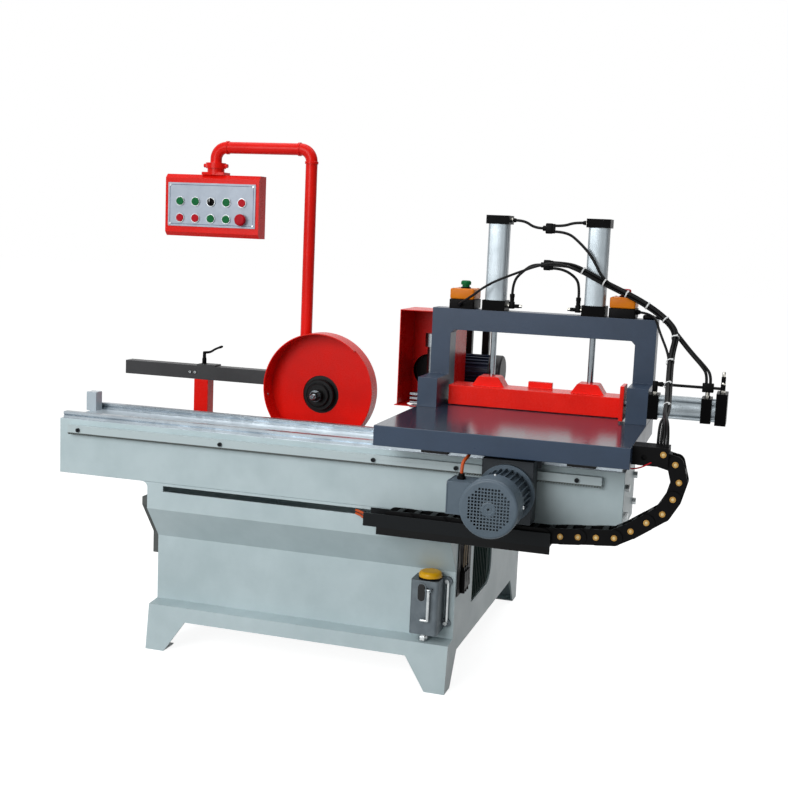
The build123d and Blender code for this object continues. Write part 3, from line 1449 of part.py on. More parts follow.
with BuildPart() as feed_motor:
    along_y(flange_front, gearbox_front, drive_x, drive_z, flange_radius)
    along_y(motor_front, flange_front, drive_x, drive_z, motor_radius - fin_height)
    with Locations(Location((drive_x, motor_front, drive_z), (-90, 0, 0))):
        with PolarLocations(motor_radius - fin_height, fin_count):
            Box(2 * fin_height, fin_width, motor_length, align=(Align.CENTER, Align.CENTER, Align.MIN))
    terminal_left = drive_x - motor_radius - terminal_width
    terminal_front = motor_front + terminal_from_cover
    terminal_right = drive_x - motor_radius + 2 * fin_height
    slab(terminal_left, terminal_right, terminal_front, terminal_front + terminal_depth,
         drive_z - terminal_height / 2, drive_z + terminal_height / 2)
    gland_x = terminal_left + gland_from_left
    gland_y = terminal_front + terminal_depth / 2
    gland_z = drive_z + terminal_height / 2 + gland_height
    upright(gland_x, gland_y, drive_z + terminal_height / 2, gland_z, gland_radius)
feed_motor.part.label = "feed_motor"
export_step(feed_motor.part, "parts/feed_motor.step")

with BuildPart() as motor_fan_cover:
    cover_front_y = motor_front - fan_cover_length
    along_y(cover_front_y, motor_front, drive_x, drive_z, fan_cover_radius)
    fillet(edges().filter_by(GeomType.CIRCLE).group_by(Axis.Y)[0], fin_height)
    along_y(cover_front_y + fan_cover_wall, motor_front + free_gap, drive_x, drive_z,
            fan_cover_radius - fan_cover_wall - fin_height, Mode.SUBTRACT)
    grille_count = int(2 * grille_radius / grille_pitch) + 1
    grille_spots = []
    for column in range(grille_count):
        for row in range(grille_count):
            offset_x = (column - (grille_count - 1) / 2) * grille_pitch
            offset_z = (row - (grille_count - 1) / 2) * grille_pitch
            if math.hypot(offset_x, offset_z) < grille_radius - grille_hole / 2:
                grille_spots.append((drive_x + offset_x, drive_z + offset_z))
    with BuildSketch(Plane.XZ.offset(-cover_front_y + free_gap)):
        with Locations(*grille_spots):
            Rectangle(grille_hole, grille_hole)
    extrude(amount=-fan_cover_wall - 2 * free_gap, mode=Mode.SUBTRACT)
motor_fan_cover.part.label = "motor_fan_cover"
export_step(motor_fan_cover.part, "parts/motor_fan_cover.step")

with BuildPart() as pinion:
    base_radius = pitch_radius * math.cos(pressure_angle)
    tip_radius = pitch_radius + tooth_module - backlash / 2
    root_radius = pitch_radius - 1.25 * tooth_module
    pitch_roll = math.sqrt((pitch_radius / base_radius) ** 2 - 1)
    pitch_turn = pitch_roll - math.atan(pitch_roll)
    half_tooth = math.pi / (2 * pinion_teeth) - backlash / (2 * pitch_radius)
    flank = []
    for step in range(7):
        radius = base_radius + (tip_radius - base_radius) * step / 6
        roll = math.sqrt((radius / base_radius) ** 2 - 1)
        flank.append((radius, half_tooth + pitch_turn - (roll - math.atan(roll))))
    gear_points = []
    for tooth in range(pinion_teeth):
        middle = math.pi / 2 - tooth * 2 * math.pi / pinion_teeth
        outline = [(root_radius, flank[0][1])] + flank
        for radius, half_angle in outline:
            angle = middle + half_angle
            gear_points.append((drive_x + radius * math.cos(angle), drive_z + radius * math.sin(angle)))
        for radius, half_angle in reversed(outline):
            angle = middle - half_angle
            gear_points.append((drive_x + radius * math.cos(angle), drive_z + radius * math.sin(angle)))
    pinion_back = (rack_front + band_y) / 2 + pinion_width / 2
    with BuildSketch(Plane.XZ.offset(-pinion_back)):
        with BuildLine():
            Polyline(*gear_points, close=True)
        make_face()
    extrude(amount=pinion_width)
    along_y(gearbox_front + flange_thickness + free_gap, pinion_back, drive_x, drive_z, pinion_shaft_radius)
pinion.part.label = "pinion"
export_step(pinion.part, "parts/pinion.step")

# Fittings on the caps, speed controllers with knobs and the two Y unions between the cylinders
left_x, right_x = cylinder_xs
low_port_z = gantry_top + low_cap / 2
high_port_z = barrel_top + high_cap / 2
port_left_x = left_x + cap_side / 2 + fitting_length
port_right_x = right_x - cap_side / 2 - fitting_length
valve_top = low_port_z + valve_rise
union_left = table_centre - union_length / 2
union_right = table_centre + union_length / 2
high_union_z = high_port_z - high_union_drop
low_union_z = low_port_z + low_union_rise
branch = union_height / 4
front_port_x = gantry_right + side_front_cap / 2
middle_port_x = (side_barrel_right + second_left) / 2
end_port_x = (end_cap_left + end_cap_right) / 2
cap_face = pusher_z + cap_side / 2
end_face = pusher_z + side_end_rise + side_end_side / 2
link_z = cap_face + link_rise
junction_left = middle_port_x - junction_length / 2
junction_right = middle_port_x + junction_length / 2
junction_top = link_z + junction_height / 2
saddle_right = gantry_right - saddle_from_end
with BuildPart() as air_fittings:
    along_x(left_x + cap_side / 2, port_left_x, cylinder_y, high_port_z, fitting_radius)
    along_x(port_right_x, right_x - cap_side / 2, cylinder_y, high_port_z, fitting_radius)
    along_x(left_x + cap_side / 2, port_left_x, cylinder_y, low_port_z, fitting_radius)
    along_x(port_right_x, right_x - cap_side / 2, cylinder_y, low_port_z, fitting_radius)
    for port_x in (port_left_x, port_right_x):
        upright(port_x, cylinder_y, low_port_z - fitting_radius, valve_top, fitting_radius)
    along_x(port_left_x, port_left_x + valve_knob_reach, cylinder_y, low_port_z, valve_knob_radius)
    along_x(port_right_x - valve_knob_reach, port_right_x, cylinder_y, low_port_z, valve_knob_radius)
    for union_z in (high_union_z, low_union_z):
        slab(union_left, union_right, cylinder_y - union_width / 2, cylinder_y + union_width / 2,
             union_z - union_height / 2, union_z + union_height / 2)
    # Elbow, straight tube, junction and tall fitting on top of the side cylinder
    upright(front_port_x, pusher_y, cap_face, link_z + fitting_radius, fitting_radius)
    along_x(front_port_x, front_port_x + elbow_reach, pusher_y, link_z, fitting_radius)
    along_x(front_port_x + elbow_reach, end_port_x, pusher_y, link_z, link_radius)
    upright(middle_port_x, pusher_y, cap_face, link_z, fitting_radius)
    slab(junction_left, junction_right, pusher_y - junction_width / 2, pusher_y + junction_width / 2,
         link_z - junction_height / 2, junction_top)
    upright(end_port_x, pusher_y, end_face, end_face + end_fitting_height, fitting_radius)
    # Saddle of the side hose on the gantry
    slab(saddle_right - saddle_length, saddle_right, cylinder_y - saddle_width / 2,
         cylinder_y + saddle_width / 2, gantry_top, gantry_top + saddle_height)
air_fittings.part.label = "air_fittings"
export_step(air_fittings.part, "parts/air_fittings.step")

# Way of the tied bundle: over the gantry to the right, then forward to the chain bracket
bundle_steps = (
    (-54, -17, -3),
    (31, -17, -46),
    (148, -17, -95),
    (229, -20, -146),
    (271, -52, -190),
    (262, -112, -250),
    (266, -187, -300),
    (273, -272, -350),
    (279, -362, -380),
    (280, -425, -395),
)


def bundle_point(step, strand):
    """A point of one strand of the bundle, strands lying side by side."""
    step_x, step_y, step_z = bundle_steps[step]
    return (
        right_x + step_x + strand * strand_shift[0],
        gantry_front + step_y + strand * strand_shift[1],
        low_union_z + step_z + strand * strand_shift[2],
    )


def bundle_end(strand, height):
    """A place above the spot on the chain bracket where a strand ends."""
    return (
        table_right + bracket_length - bundle_end_inset + strand * end_shift,
        chain_y + bundle_end_back - strand * end_shift,
        table_top + height,
    )


def bundle_way(first, strand):
    """The rest of a strand from one step of the bundle to the chain bracket."""
    steps = range(first, len(bundle_steps))
    ends = [bundle_end(strand, bundle_drop), bundle_end(strand, 0)]
    return [bundle_point(step, strand) for step in steps] + ends


right_box_side = right_box_x + box_width / 2
cable_low = gantry_top + box_base_height / 2
with BuildPart() as hoses:
    add(hose([
        (port_left_x, cylinder_y, high_port_z),
        (port_left_x + 28, cylinder_y, high_port_z),
        (union_left - 28, cylinder_y, high_union_z),
        (union_left, cylinder_y, high_union_z),
    ], hose_diameter, "left upper hose"))
    add(hose([
        (union_right, cylinder_y, high_union_z + branch),
        (union_right + 28, cylinder_y, high_union_z + branch),
        (port_right_x - 28, cylinder_y, high_port_z),
        (port_right_x, cylinder_y, high_port_z),
    ], hose_diameter, "right upper hose"))
    add(hose([
        (port_left_x, cylinder_y, valve_top),
        (port_left_x, cylinder_y, valve_top + 42),
        (union_left - 56, cylinder_y, low_union_z - 22),
        (union_left - 26, cylinder_y, low_union_z),
        (union_left, cylinder_y, low_union_z),
    ], hose_diameter, "left lower hose"))
    add(hose([
        (union_right, cylinder_y, low_union_z - branch),
        (union_right + 32, cylinder_y, low_union_z - branch),
        (port_right_x - 14, cylinder_y, low_union_z - 34),
        (port_right_x, cylinder_y, valve_top + 38),
        (port_right_x, cylinder_y, valve_top),
    ], hose_diameter, "right lower hose"))
    add(hose([
        (union_right, cylinder_y, low_union_z + branch),
        (union_right + 40, cylinder_y, low_union_z + branch),
    ] + bundle_way(0, 0), hose_diameter, "lower supply hose"))
    add(hose([
        (union_right, cylinder_y, high_union_z - branch),
        (union_right + 40, cylinder_y, high_union_z - branch),
        (right_x - 56, gantry_front - 2, high_union_z - 40),
        (right_x - 9, gantry_front - 20, high_union_z - 85),
    ] + bundle_way(1, 2), hose_diameter, "upper supply hose"))
    add(hose([
        (left_box_x - 3, box_front, cable_low),
        (left_box_x - 3, box_front - 42, cable_low),
        (left_box_x + 43, box_front - 50, cable_low + 28),
        (left_box_x + 75, box_front - 48, cable_low + 55),
        (left_box_x + 105, box_front - 42, cable_low + 75),
        (left_box_x + 139, box_front - 36, cable_low + 92),
        (left_box_x + 197, box_front - 26, cable_low + 117),
        (left_box_x + 255, box_front - 26, cable_low + 140),
        (left_box_x + 311, box_front - 23, cable_low + 150),
    ] + bundle_way(0, 1), cable_diameter, "left button cable"))
    add(hose([
        (right_box_side, box_front + 28, cable_low + 6),
        (right_box_side + 30, box_front + 28, cable_low + 6),
        (right_box_side + 66, box_front - 6, cable_low - 8),
        (right_box_side + 82, box_front - 48, cable_low - 44),
    ] + bundle_way(5, -1), cable_diameter, "right button cable"))
    add(hose([
        (union_right, cylinder_y, low_union_z),
        (union_right + 36, cylinder_y, low_union_z),
    ] + [bundle_point(step, -1) for step in range(4)] + [
        (gantry_right + 65, gantry_front - 32, junction_top + 131),
        (gantry_right + 111, gantry_front - 66, junction_top + 84),
        (middle_port_x - 22, pusher_y + 8, junction_top + 48),
        (middle_port_x - side_hose_pitch / 2, pusher_y, junction_top + 26),
        (middle_port_x - side_hose_pitch / 2, pusher_y, junction_top),
    ], hose_diameter, "first side hose"))
    add(hose([
        (saddle_right, cylinder_y, gantry_top + saddle_height / 2),
        (saddle_right + 34, cylinder_y, gantry_top + saddle_height / 2),
        (gantry_right + 72, gantry_front - 25, junction_top + 132),
        (gantry_right + 118, gantry_front - 59, junction_top + 85),
        (middle_port_x - 14, pusher_y + 15, junction_top + 49),
        (middle_port_x + side_hose_pitch / 2, pusher_y, junction_top + 26),
        (middle_port_x + side_hose_pitch / 2, pusher_y, junction_top),
    ], hose_diameter, "second side hose"))
    add(hose([
        (gland_x, gland_y, gland_z),
        (gland_x, gland_y, gland_z + 20),
        (gland_x, gland_y + 14, gland_z + 37),
        (gland_x + 4, gland_y + 66, gland_z + 45),
        (gland_x + 4, gland_y + 80, gland_z + 62),
        (gland_x + 4, gland_y + 80, table_under),
    ], motor_cable_diameter, "motor cable"))
hoses.part.label = "hoses"
export_step(hoses.part, "parts/hoses.step")
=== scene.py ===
"""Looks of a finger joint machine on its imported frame: finishes, hoses and small parts."""

import json
import logging
import math
from collections.abc import Sequence
from dataclasses import dataclass, field, replace
from enum import Enum
from typing import ClassVar

import bmesh
import bpy
import numpy as np
from mathutils import Matrix, Vector

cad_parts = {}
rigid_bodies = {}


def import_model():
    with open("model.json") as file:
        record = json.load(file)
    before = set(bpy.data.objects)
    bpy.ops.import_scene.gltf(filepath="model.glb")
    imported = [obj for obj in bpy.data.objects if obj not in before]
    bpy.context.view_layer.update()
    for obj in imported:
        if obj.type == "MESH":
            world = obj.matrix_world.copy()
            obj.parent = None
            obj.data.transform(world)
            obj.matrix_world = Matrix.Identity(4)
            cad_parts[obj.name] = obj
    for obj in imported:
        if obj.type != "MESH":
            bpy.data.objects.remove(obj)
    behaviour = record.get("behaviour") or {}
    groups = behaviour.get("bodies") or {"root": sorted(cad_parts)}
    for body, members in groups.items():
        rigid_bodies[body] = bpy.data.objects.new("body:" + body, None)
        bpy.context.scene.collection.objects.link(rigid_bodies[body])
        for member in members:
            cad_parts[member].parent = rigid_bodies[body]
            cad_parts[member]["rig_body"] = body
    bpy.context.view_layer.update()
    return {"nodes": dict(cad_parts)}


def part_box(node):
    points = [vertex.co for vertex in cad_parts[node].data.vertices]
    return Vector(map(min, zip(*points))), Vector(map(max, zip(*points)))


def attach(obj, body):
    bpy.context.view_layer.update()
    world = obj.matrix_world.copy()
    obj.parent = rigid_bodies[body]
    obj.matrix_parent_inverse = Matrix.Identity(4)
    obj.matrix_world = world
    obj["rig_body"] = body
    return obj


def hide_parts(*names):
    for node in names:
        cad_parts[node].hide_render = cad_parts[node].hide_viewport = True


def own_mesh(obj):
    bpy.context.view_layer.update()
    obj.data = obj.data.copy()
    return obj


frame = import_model()

MM = 0.001
SHARP_ANGLE = math.radians(35)
FLAT_ANGLE = math.radians(1)
WELD_DISTANCE = 1e-6
# Sockets of the Mix node: its share, the two values or colours it blends, and what comes out.
MIX_SHARE, MIX_VALUE_A, MIX_VALUE_B, MIX_COLOUR_A, MIX_COLOUR_B = 0, 2, 3, 6, 7
MIX_VALUE_OUT, MIX_COLOUR_OUT = 0, 2
WHITE = (1.0, 1.0, 1.0, 1.0)

Pair = tuple[float, float]
Point = tuple[float, float, float]
Profile = tuple[Pair, ...]
Tree = bpy.types.NodeTree
Socket = bpy.types.NodeSocket
log = logging.getLogger("finger_joint_machine")


def linear(code: str) -> tuple[float, float, float, float]:
    """Turn an sRGB hex colour into linear light: c / 12.92 in the dark, else a power of 2.4.

    Args:
        code: The colour as # and six hex digits.

    Returns:
        Red, green, blue and full alpha.
    """
    channels = np.array([int(code[place:place + 2], 16) for place in (1, 3, 5)]) / 255
    curve = ((channels + 0.055) / 1.055) ** 2.4
    red, green, blue = np.where(channels <= 0.04045, channels / 12.92, curve).tolist()
    return red, green, blue, 1.0


def add_node(tree: Tree, kind: str, inputs: dict | None = None,
             **settings: object) -> bpy.types.Node:
    """Add one node with its settings and links.

    Args:
        tree: The node tree that gets the node.
        kind: Blender's name for the kind of node.
        inputs: What goes into each input: another node's output, or a value.
        settings: The node's own properties.

    Returns:
        The new node.
    """
    node = tree.nodes.new(kind)
    for name, setting in settings.items():
        setattr(node, name, setting)
    for name, value in (inputs or {}).items():
        if isinstance(value, Socket):
            tree.links.new(value, node.inputs[name])
        else:
            node.inputs[name].default_value = value
    return node


def seen_rays(tree: Tree) -> Socket:
    """Tell the rays of the eye, of reflections and of clear material from those that carry light.

    Args:
        tree: The node tree that gets the nodes.

    Returns:
        An output that is one for such rays and zero for the others.
    """
    ways = add_node(tree, "ShaderNodeLightPath").outputs
    seen = ways["Is Camera Ray"]
    for kind in ("Is Glossy Ray", "Is Transmission Ray"):
        seen = add_node(tree, "ShaderNodeMath", {0: seen, 1: ways[kind]},
                        operation="MAXIMUM").outputs[0]
    return seen


class Axis(Enum):
    """An axis of the machine, under the name of a node's output."""

    X = "X"
    Y = "Y"
    Z = "Z"


class Side(Enum):
    """Which side of a plane a region of a finish covers."""

    BELOW = "LESS_THAN"
    ABOVE = "GREATER_THAN"


@dataclass(frozen=True)
class Region:
    """The part of a node past a plane across one axis, with a colour and gloss of its own."""

    axis: Axis
    side: Side
    edge_mm: float
    colour: str
    roughness: float


@dataclass(frozen=True)
class Finish:
    """What a surface is made of and how it was made.

    The colour drifts towards the tint in soft patches, the gloss varies with them, a grain
    gives the bump, and paint may be rubbed thin along its edges. The spans are the levels of
    noise, or of likeness between two normals, over which each of these sets in.
    """

    patch_detail: ClassVar[float] = 4.0
    patch_roughness: ClassVar[float] = 0.6
    grain_detail: ClassVar[float] = 2.0
    tint_span: ClassVar[Pair] = (0.35, 0.68)
    gloss_span: ClassVar[Pair] = (0.6, 1.4)
    least_roughness: ClassVar[float] = 0.02
    edge_span: ClassVar[Pair] = (0.99, 0.86)
    edge_samples: ClassVar[int] = 4
    fleck_span: ClassVar[Pair] = (0.95, 1.15)
    fleck_most: ClassVar[float] = 0.6

    name: str
    colour: str
    tint: str
    roughness: float
    metallic: float = 0.0
    gloss_spread: float = 0.08
    patch_mm: float = 140.0
    grain_mm: float = 3.0
    grain_depth: float = 0.05
    stretch: Point = (1.0, 1.0, 1.0)
    specular: float = 0.3
    worn: str = ""
    worn_mm: float = 2.0
    regions: tuple[Region, ...] = ()

    def material(self) -> bpy.types.Material:
        """Find the material of this finish, or make it at its first use.

        Returns:
            The material.
        """
        found = bpy.data.materials.get(self.name)
        if found:
            return found
        made = bpy.data.materials.new(self.name)
        made.use_nodes = True
        tree = made.node_tree
        tree.nodes.clear()
        place = add_node(tree, "ShaderNodeTexCoord").outputs["Object"]
        patches, grain = self.noises(tree, place)
        colour, gloss = self.mottled(tree, patches, grain)
        for region in self.regions:
            colour, gloss = self.past(tree, place, region, colour, gloss)
        if self.worn:
            colour = self.rubbed(tree, patches, grain, colour)
        bump = add_node(tree, "ShaderNodeBump", {
            "Strength": self.grain_depth, "Distance": self.grain_mm * MM,
            "Height": grain}).outputs[0]
        shader = add_node(tree, "ShaderNodeBsdfPrincipled", {
            "Base Color": colour, "Metallic": self.metallic, "Roughness": gloss,
            "Specular IOR Level": self.specular, "Normal": bump}).outputs[0]
        add_node(tree, "ShaderNodeOutputMaterial", {"Surface": shader})
        return made

    def noises(self, tree: Tree, place: Socket) -> tuple[Socket, Socket]:
        """Add the coarse noise of the patches and the fine, drawn-out noise of the grain.

        Args:
            tree: The material's node tree.
            place: Object coordinates.

        Returns:
            The coarse and the fine noise.
        """
        patches = add_node(tree, "ShaderNodeTexNoise", {
            "Vector": place, "Scale": 1 / (self.patch_mm * MM), "Detail": self.patch_detail,
            "Roughness": self.patch_roughness}).outputs[0]
        thin = tuple(1 / share for share in self.stretch)
        drawn = add_node(tree, "ShaderNodeMapping", {"Vector": place, "Scale": thin}).outputs[0]
        grain = add_node(tree, "ShaderNodeTexNoise", {
            "Vector": drawn, "Scale": 1 / (self.grain_mm * MM),
            "Detail": self.grain_detail}).outputs[0]
        return patches, grain

    def mottled(self, tree: Tree, patches: Socket, grain: Socket) -> tuple[Socket, Socket]:
        """Let the patches carry the tint, and patches and grain together the gloss.

        Args:
            tree: The material's node tree.
            patches: The coarse noise.
            grain: The fine noise.

        Returns:
            The colour and roughness outputs.
        """
        share = add_node(tree, "ShaderNodeMapRange", {
            "Value": patches, "From Min": self.tint_span[0],
            "From Max": self.tint_span[1]}).outputs[0]
        colour = add_node(tree, "ShaderNodeMix", {
            MIX_SHARE: share, MIX_COLOUR_A: linear(self.colour), MIX_COLOUR_B: linear(self.tint)},
            data_type="RGBA").outputs[MIX_COLOUR_OUT]
        both = add_node(tree, "ShaderNodeMath", {0: patches, 1: grain}, operation="ADD").outputs[0]
        gloss = add_node(tree, "ShaderNodeMapRange", {
            "Value": both, "From Min": self.gloss_span[0], "From Max": self.gloss_span[1],
            "To Min": max(self.roughness - self.gloss_spread, self.least_roughness),
            "To Max": min(self.roughness + self.gloss_spread, 1.0)}).outputs[0]
        return colour, gloss

    def past(self, tree: Tree, place: Socket, region: Region, colour: Socket,
             gloss: Socket) -> tuple[Socket, Socket]:
        """Recolour what lies past a region's plane.

        Args:
            tree: The material's node tree.
            place: Object coordinates.
            region: The plane and what lies past it.
            colour: The colour so far.
            gloss: The roughness so far.

        Returns:
            The new colour and roughness outputs.
        """
        split = add_node(tree, "ShaderNodeSeparateXYZ", {"Vector": place})
        past = add_node(tree, "ShaderNodeMath", {
            0: split.outputs[region.axis.value], 1: region.edge_mm * MM},
            operation=region.side.value).outputs[0]
        colour = add_node(tree, "ShaderNodeMix", {
            MIX_SHARE: past, MIX_COLOUR_A: colour, MIX_COLOUR_B: linear(region.colour)},
            data_type="RGBA").outputs[MIX_COLOUR_OUT]
        gloss = add_node(tree, "ShaderNodeMix", {
            MIX_SHARE: past, MIX_VALUE_A: gloss,
            MIX_VALUE_B: region.roughness}).outputs[MIX_VALUE_OUT]
        return colour, gloss

    def rubbed(self, tree: Tree, patches: Socket, grain: Socket, colour: Socket) -> Socket:
        """Show the worn colour in flecks along edges, where a rounded normal leaves the flat one.

        Args:
            tree: The material's node tree.
            patches: The coarse noise.
            grain: The fine noise.
            colour: The colour so far.

        Returns:
            The new colour output.
        """
        rounded = add_node(tree, "ShaderNodeBevel", {"Radius": self.worn_mm * MM},
                           samples=self.edge_samples).outputs[0]
        flat = add_node(tree, "ShaderNodeNewGeometry").outputs["Normal"]
        alike = add_node(tree, "ShaderNodeVectorMath", {0: rounded, 1: flat},
                         operation="DOT_PRODUCT").outputs["Value"]
        edge = add_node(tree, "ShaderNodeMapRange", {
            "Value": alike, "From Min": self.edge_span[0],
            "From Max": self.edge_span[1]}).outputs[0]
        both = add_node(tree, "ShaderNodeMath", {0: grain, 1: patches}, operation="ADD").outputs[0]
        fleck = add_node(tree, "ShaderNodeMapRange", {
            "Value": both, "From Min": self.fleck_span[0], "From Max": self.fleck_span[1],
            "To Max": self.fleck_most}).outputs[0]
        shown = add_node(tree, "ShaderNodeMath", {0: edge, 1: fleck},
                         operation="MULTIPLY").outputs[0]
        return add_node(tree, "ShaderNodeMix", {
            MIX_SHARE: shown, MIX_COLOUR_A: colour, MIX_COLOUR_B: linear(self.worn)},
            data_type="RGBA").outputs[MIX_COLOUR_OUT]


# Two-pack enamel, sprayed: an even satin skin with a fine orange peel, rubbed darker at the folds.
PALE_ENAMEL = Finish("pale_satin_enamel", "#BCCCD0", "#B1C2C6", 0.38, grain_mm=4.0,
                     grain_depth=0.04, worn="#7F8786")
# The top of the bed is wiped with oil, so it mirrors the rails.
BED_ENAMEL = replace(PALE_ENAMEL, name="pale_satin_enamel_with_oiled_top",
                     regions=(Region(Axis.Z, Side.ABOVE, 744.5, "#B2BEC6", 0.18),))
# The rack is painted on its front and has bare grey teeth below; behind their front faces the
# teeth are painted near black, painted shade that darkens the tooth gaps.
RACK_ENAMEL = Finish("pale_enamel_over_steel_rack", "#B7C5C8", "#ABBABD", 0.4, grain_mm=4.0,
                     worn="#6B7070",
                     regions=(Region(Axis.Z, Side.BELOW, 703.6, "#5E6664", 0.5),
                              Region(Axis.Y, Side.ABOVE, -572.8, "#0C0D0D", 0.6),
                              Region(Axis.Z, Side.ABOVE, 703.6, "#B7C5C8", 0.4)))
# Blue-grey enamel: a dark satin that is rubbed pale along its edges.
BLUE_ENAMEL = Finish("blue_grey_satin_enamel", "#2F4056", "#29394D", 0.34, grain_mm=4.0,
                     grain_depth=0.04, worn="#77818C")
# The timber has polished the top of the table, so it mirrors the clamp.
TABLE_ENAMEL = replace(BLUE_ENAMEL, name="blue_grey_enamel_with_polished_top", grain_depth=0.025,
                       worn="#8A929A",
                       regions=(Region(Axis.Z, Side.ABOVE, 841.6, "#2C3748", 0.16),))
# Red enamel: strong and even with a soft highlight, rubbed paler along its edges.
RED_ENAMEL = Finish("red_gloss_enamel", "#E41910", "#D6140C", 0.28, grain_mm=4.0,
                    grain_depth=0.03, specular=0.14, worn="#E85A48")
# Clamp and pusher get a brighter copy of the red: painted light for the gantry's shade on them.
CLAMP_ENAMEL = replace(RED_ENAMEL, name="red_gloss_enamel_brightened_as_painted_light", colour="#F41E10", tint="#E6180C")
# Behind the hood the sheet, the outlet and its closed damper are painted near black: painted shade
# that keeps the outlet's mouth dark.
HOOD_ENAMEL = replace(RED_ENAMEL, name="red_gloss_enamel_with_painted_shade_outlet", colour="#DC1810",
                      tint="#CE130C",
                      regions=(Region(Axis.Y, Side.ABOVE, 170.5, "#0C0C0D", 0.5),))
# The trough is folded sheet in near black, darker and duller below 527.5 mm.
TRAY_ENAMEL = Finish("slate_enamel_on_folded_sheet", "#0E1215", "#0A0D0F", 0.42, specular=0.12,
                     worn="#565E5E",
                     regions=(Region(Axis.Z, Side.BELOW, 527.5, "#08090A", 0.5),))
# The right cover is a matt dark green that hardly shines, the left one a plain grey.
COVER_ENAMEL = Finish("dark_green_enamel", "#062420", "#041B18", 0.6, specular=0.03,
                      worn="#3F5A53",
                      regions=(Region(Axis.X, Side.BELOW, 0.0, "#5F6261", 0.42),))
# Enamel over a cast motor: the pebbled casting shows through as a broken sheen.
MOTOR_ENAMEL = Finish("grey_blue_motor_enamel", "#586672", "#4B5964", 0.4, grain_mm=1.6,
                      grain_depth=0.12, worn="#8C989F")
# The face of the saw motor seen through the hole of the dish is painted near black: painted shade
# in the hole.
SAW_ENAMEL = replace(MOTOR_ENAMEL, name="grey_blue_motor_enamel_with_painted_shade_face", specular=0.25,
                     worn="", regions=(Region(Axis.Y, Side.BELOW, 127.0, "#080809", 0.5),))
# The lift motor is dark blue with a black fan cover.
LIFT_ENAMEL = Finish("dark_blue_motor_enamel", "#22304A", "#1A2740", 0.36, grain_mm=1.6,
                     grain_depth=0.1,
                     regions=(Region(Axis.X, Side.ABOVE, 430.0, "#16181C", 0.45),))
# Painted iron: a dull slate skin as rough as the sand it was cast in.
SLATE_IRON = Finish("slate_painted_iron_casting", "#2A3036", "#20252A", 0.5, grain_mm=1.2,
                    grain_depth=0.25)
# Sand-cast aluminium: silvery grey with a pebbled skin.
CAST_ALUMINIUM = Finish("cast_aluminium", "#666F75", "#586167", 0.46, 0.4, grain_mm=1.0,
                        grain_depth=0.3, patch_mm=40.0, worn="#A8AEB2")
# Ground steel: long fine lines along the rail and a cool dark shine.
RAIL_STEEL = Finish("ground_rail_steel", "#A3ACB3", "#8D969D", 0.28, 1.0, 0.1, 60.0, 0.8, 0.12,
                    (60.0, 1.0, 1.0))
# Turned and sharpened steel: grey and bright, faintly stained by handling.
SHAFT_STEEL = Finish("turned_steel", "#8E9396", "#777C80", 0.3, 1.0, 0.1, 30.0, 0.6, 0.1)
TOOL_STEEL = replace(SHAFT_STEEL, name="sharpened_tool_steel", colour="#9A9FA3", tint="#80868B",
                     grain_depth=0.12)
# Black oxide: a dark oily steel with a dull sheen.
BLACK_OXIDE = Finish("black_oxide_steel", "#0C0C0D", "#08080A", 0.4, 0.3, 0.12, 30.0, 1.0, 0.1,
                     specular=0.25)
# Charcoal paint on drawn bar: dark grey, rubbed bright where the bar slides.
CHARCOAL_STEEL = Finish("charcoal_painted_steel_bar", "#303133", "#28292B", 0.46, grain_mm=2.0,
                        grain_depth=0.12, worn="#77797B")
# Zinc plate and nickel plate: bright, faintly warm, softly mottled by the bath.
ZINC_PLATE = Finish("zinc_plated_steel", "#B9BDBE", "#A3A8AA", 0.3, 1.0, 0.1, 20.0, 0.8, 0.08)
NICKEL_PLATE = Finish("nickel_plated_brass", "#C6C4BC", "#B0AEA6", 0.24, 1.0, 0.08, 15.0, 0.6, 0.06)
# The socket screws of the rack are black, the bolts of the end plate bright.
SCREW_STEEL = replace(ZINC_PLATE, name="zinc_bolts_and_black_screws",
                      regions=(Region(Axis.X, Side.BELOW, 1000.0, "#1C1E20", 0.45),))
# Hard chrome on a ground rod: smooth, with a sharp dark mirror image.
CHROME = Finish("hard_chrome", "#8E959A", "#80878C", 0.14, 1.0, 0.04, 40.0, 0.6, 0.03)
# Anodised tube: extruded lines along the tube, drawn ten times coarser than real so that they show.
ANODISED_TUBE = Finish("anodised_aluminium_tube", "#A9B3B9", "#99A3A9", 0.3, 0.45, 0.06, 60.0, 1.5,
                       0.08, (1.0, 1.0, 80.0))
# Black anodising on a cast cap: a flat black, with bare metal just showing along the edges.
BLACK_ANODISED = Finish("black_anodised_aluminium", "#050506", "#040405", 0.34, 0.0, 0.08, 30.0,
                        1.0, 0.12, specular=0.03, worn="#34373A", worn_mm=1.0)
# Printed sheet: a silver ground with a faint brushed line across.
FACE_SHEET = Finish("silver_printed_aluminium_sheet", "#A9B3BF", "#9DA7B4", 0.42, 0.1, 0.06, 60.0,
                    0.8, 0.05, (50.0, 1.0, 1.0))
PRINT_BLUE = Finish("dark_blue_print", "#3A4368", "#343C5E", 0.5, grain_mm=1.0, grain_depth=0.03,
                    patch_mm=20.0)
# Moulded nylon: black and matt, with the fine grain of its mould.
BLACK_NYLON = Finish("black_moulded_nylon", "#09090A", "#060607", 0.44, grain_mm=0.9,
                     grain_depth=0.16, patch_mm=30.0, specular=0.06)
WHITE_NYLON = Finish("white_nylon_tie", "#E4E6E6", "#D6D9D9", 0.45, grain_mm=0.8, grain_depth=0.1,
                     patch_mm=8.0)
# The sight window is smooth and glossy, with dark oil behind it.
GLOSS_BLACK = Finish("black_gloss_sight_window", "#08090B", "#0E1013", 0.12, grain_mm=8.0,
                     grain_depth=0.02, patch_mm=20.0)
# Acetal pins: waxy tan rings with cream centres.
TAN_PIN = Finish("tan_acetal_pin", "#C79A4E", "#B4863C", 0.4, grain_mm=0.8, grain_depth=0.1,
                 patch_mm=8.0)
CREAM_PIN = replace(TAN_PIN, name="cream_acetal_pin_centre", colour="#E6CF9A", tint="#D9BE82",
                    patch_mm=6.0)
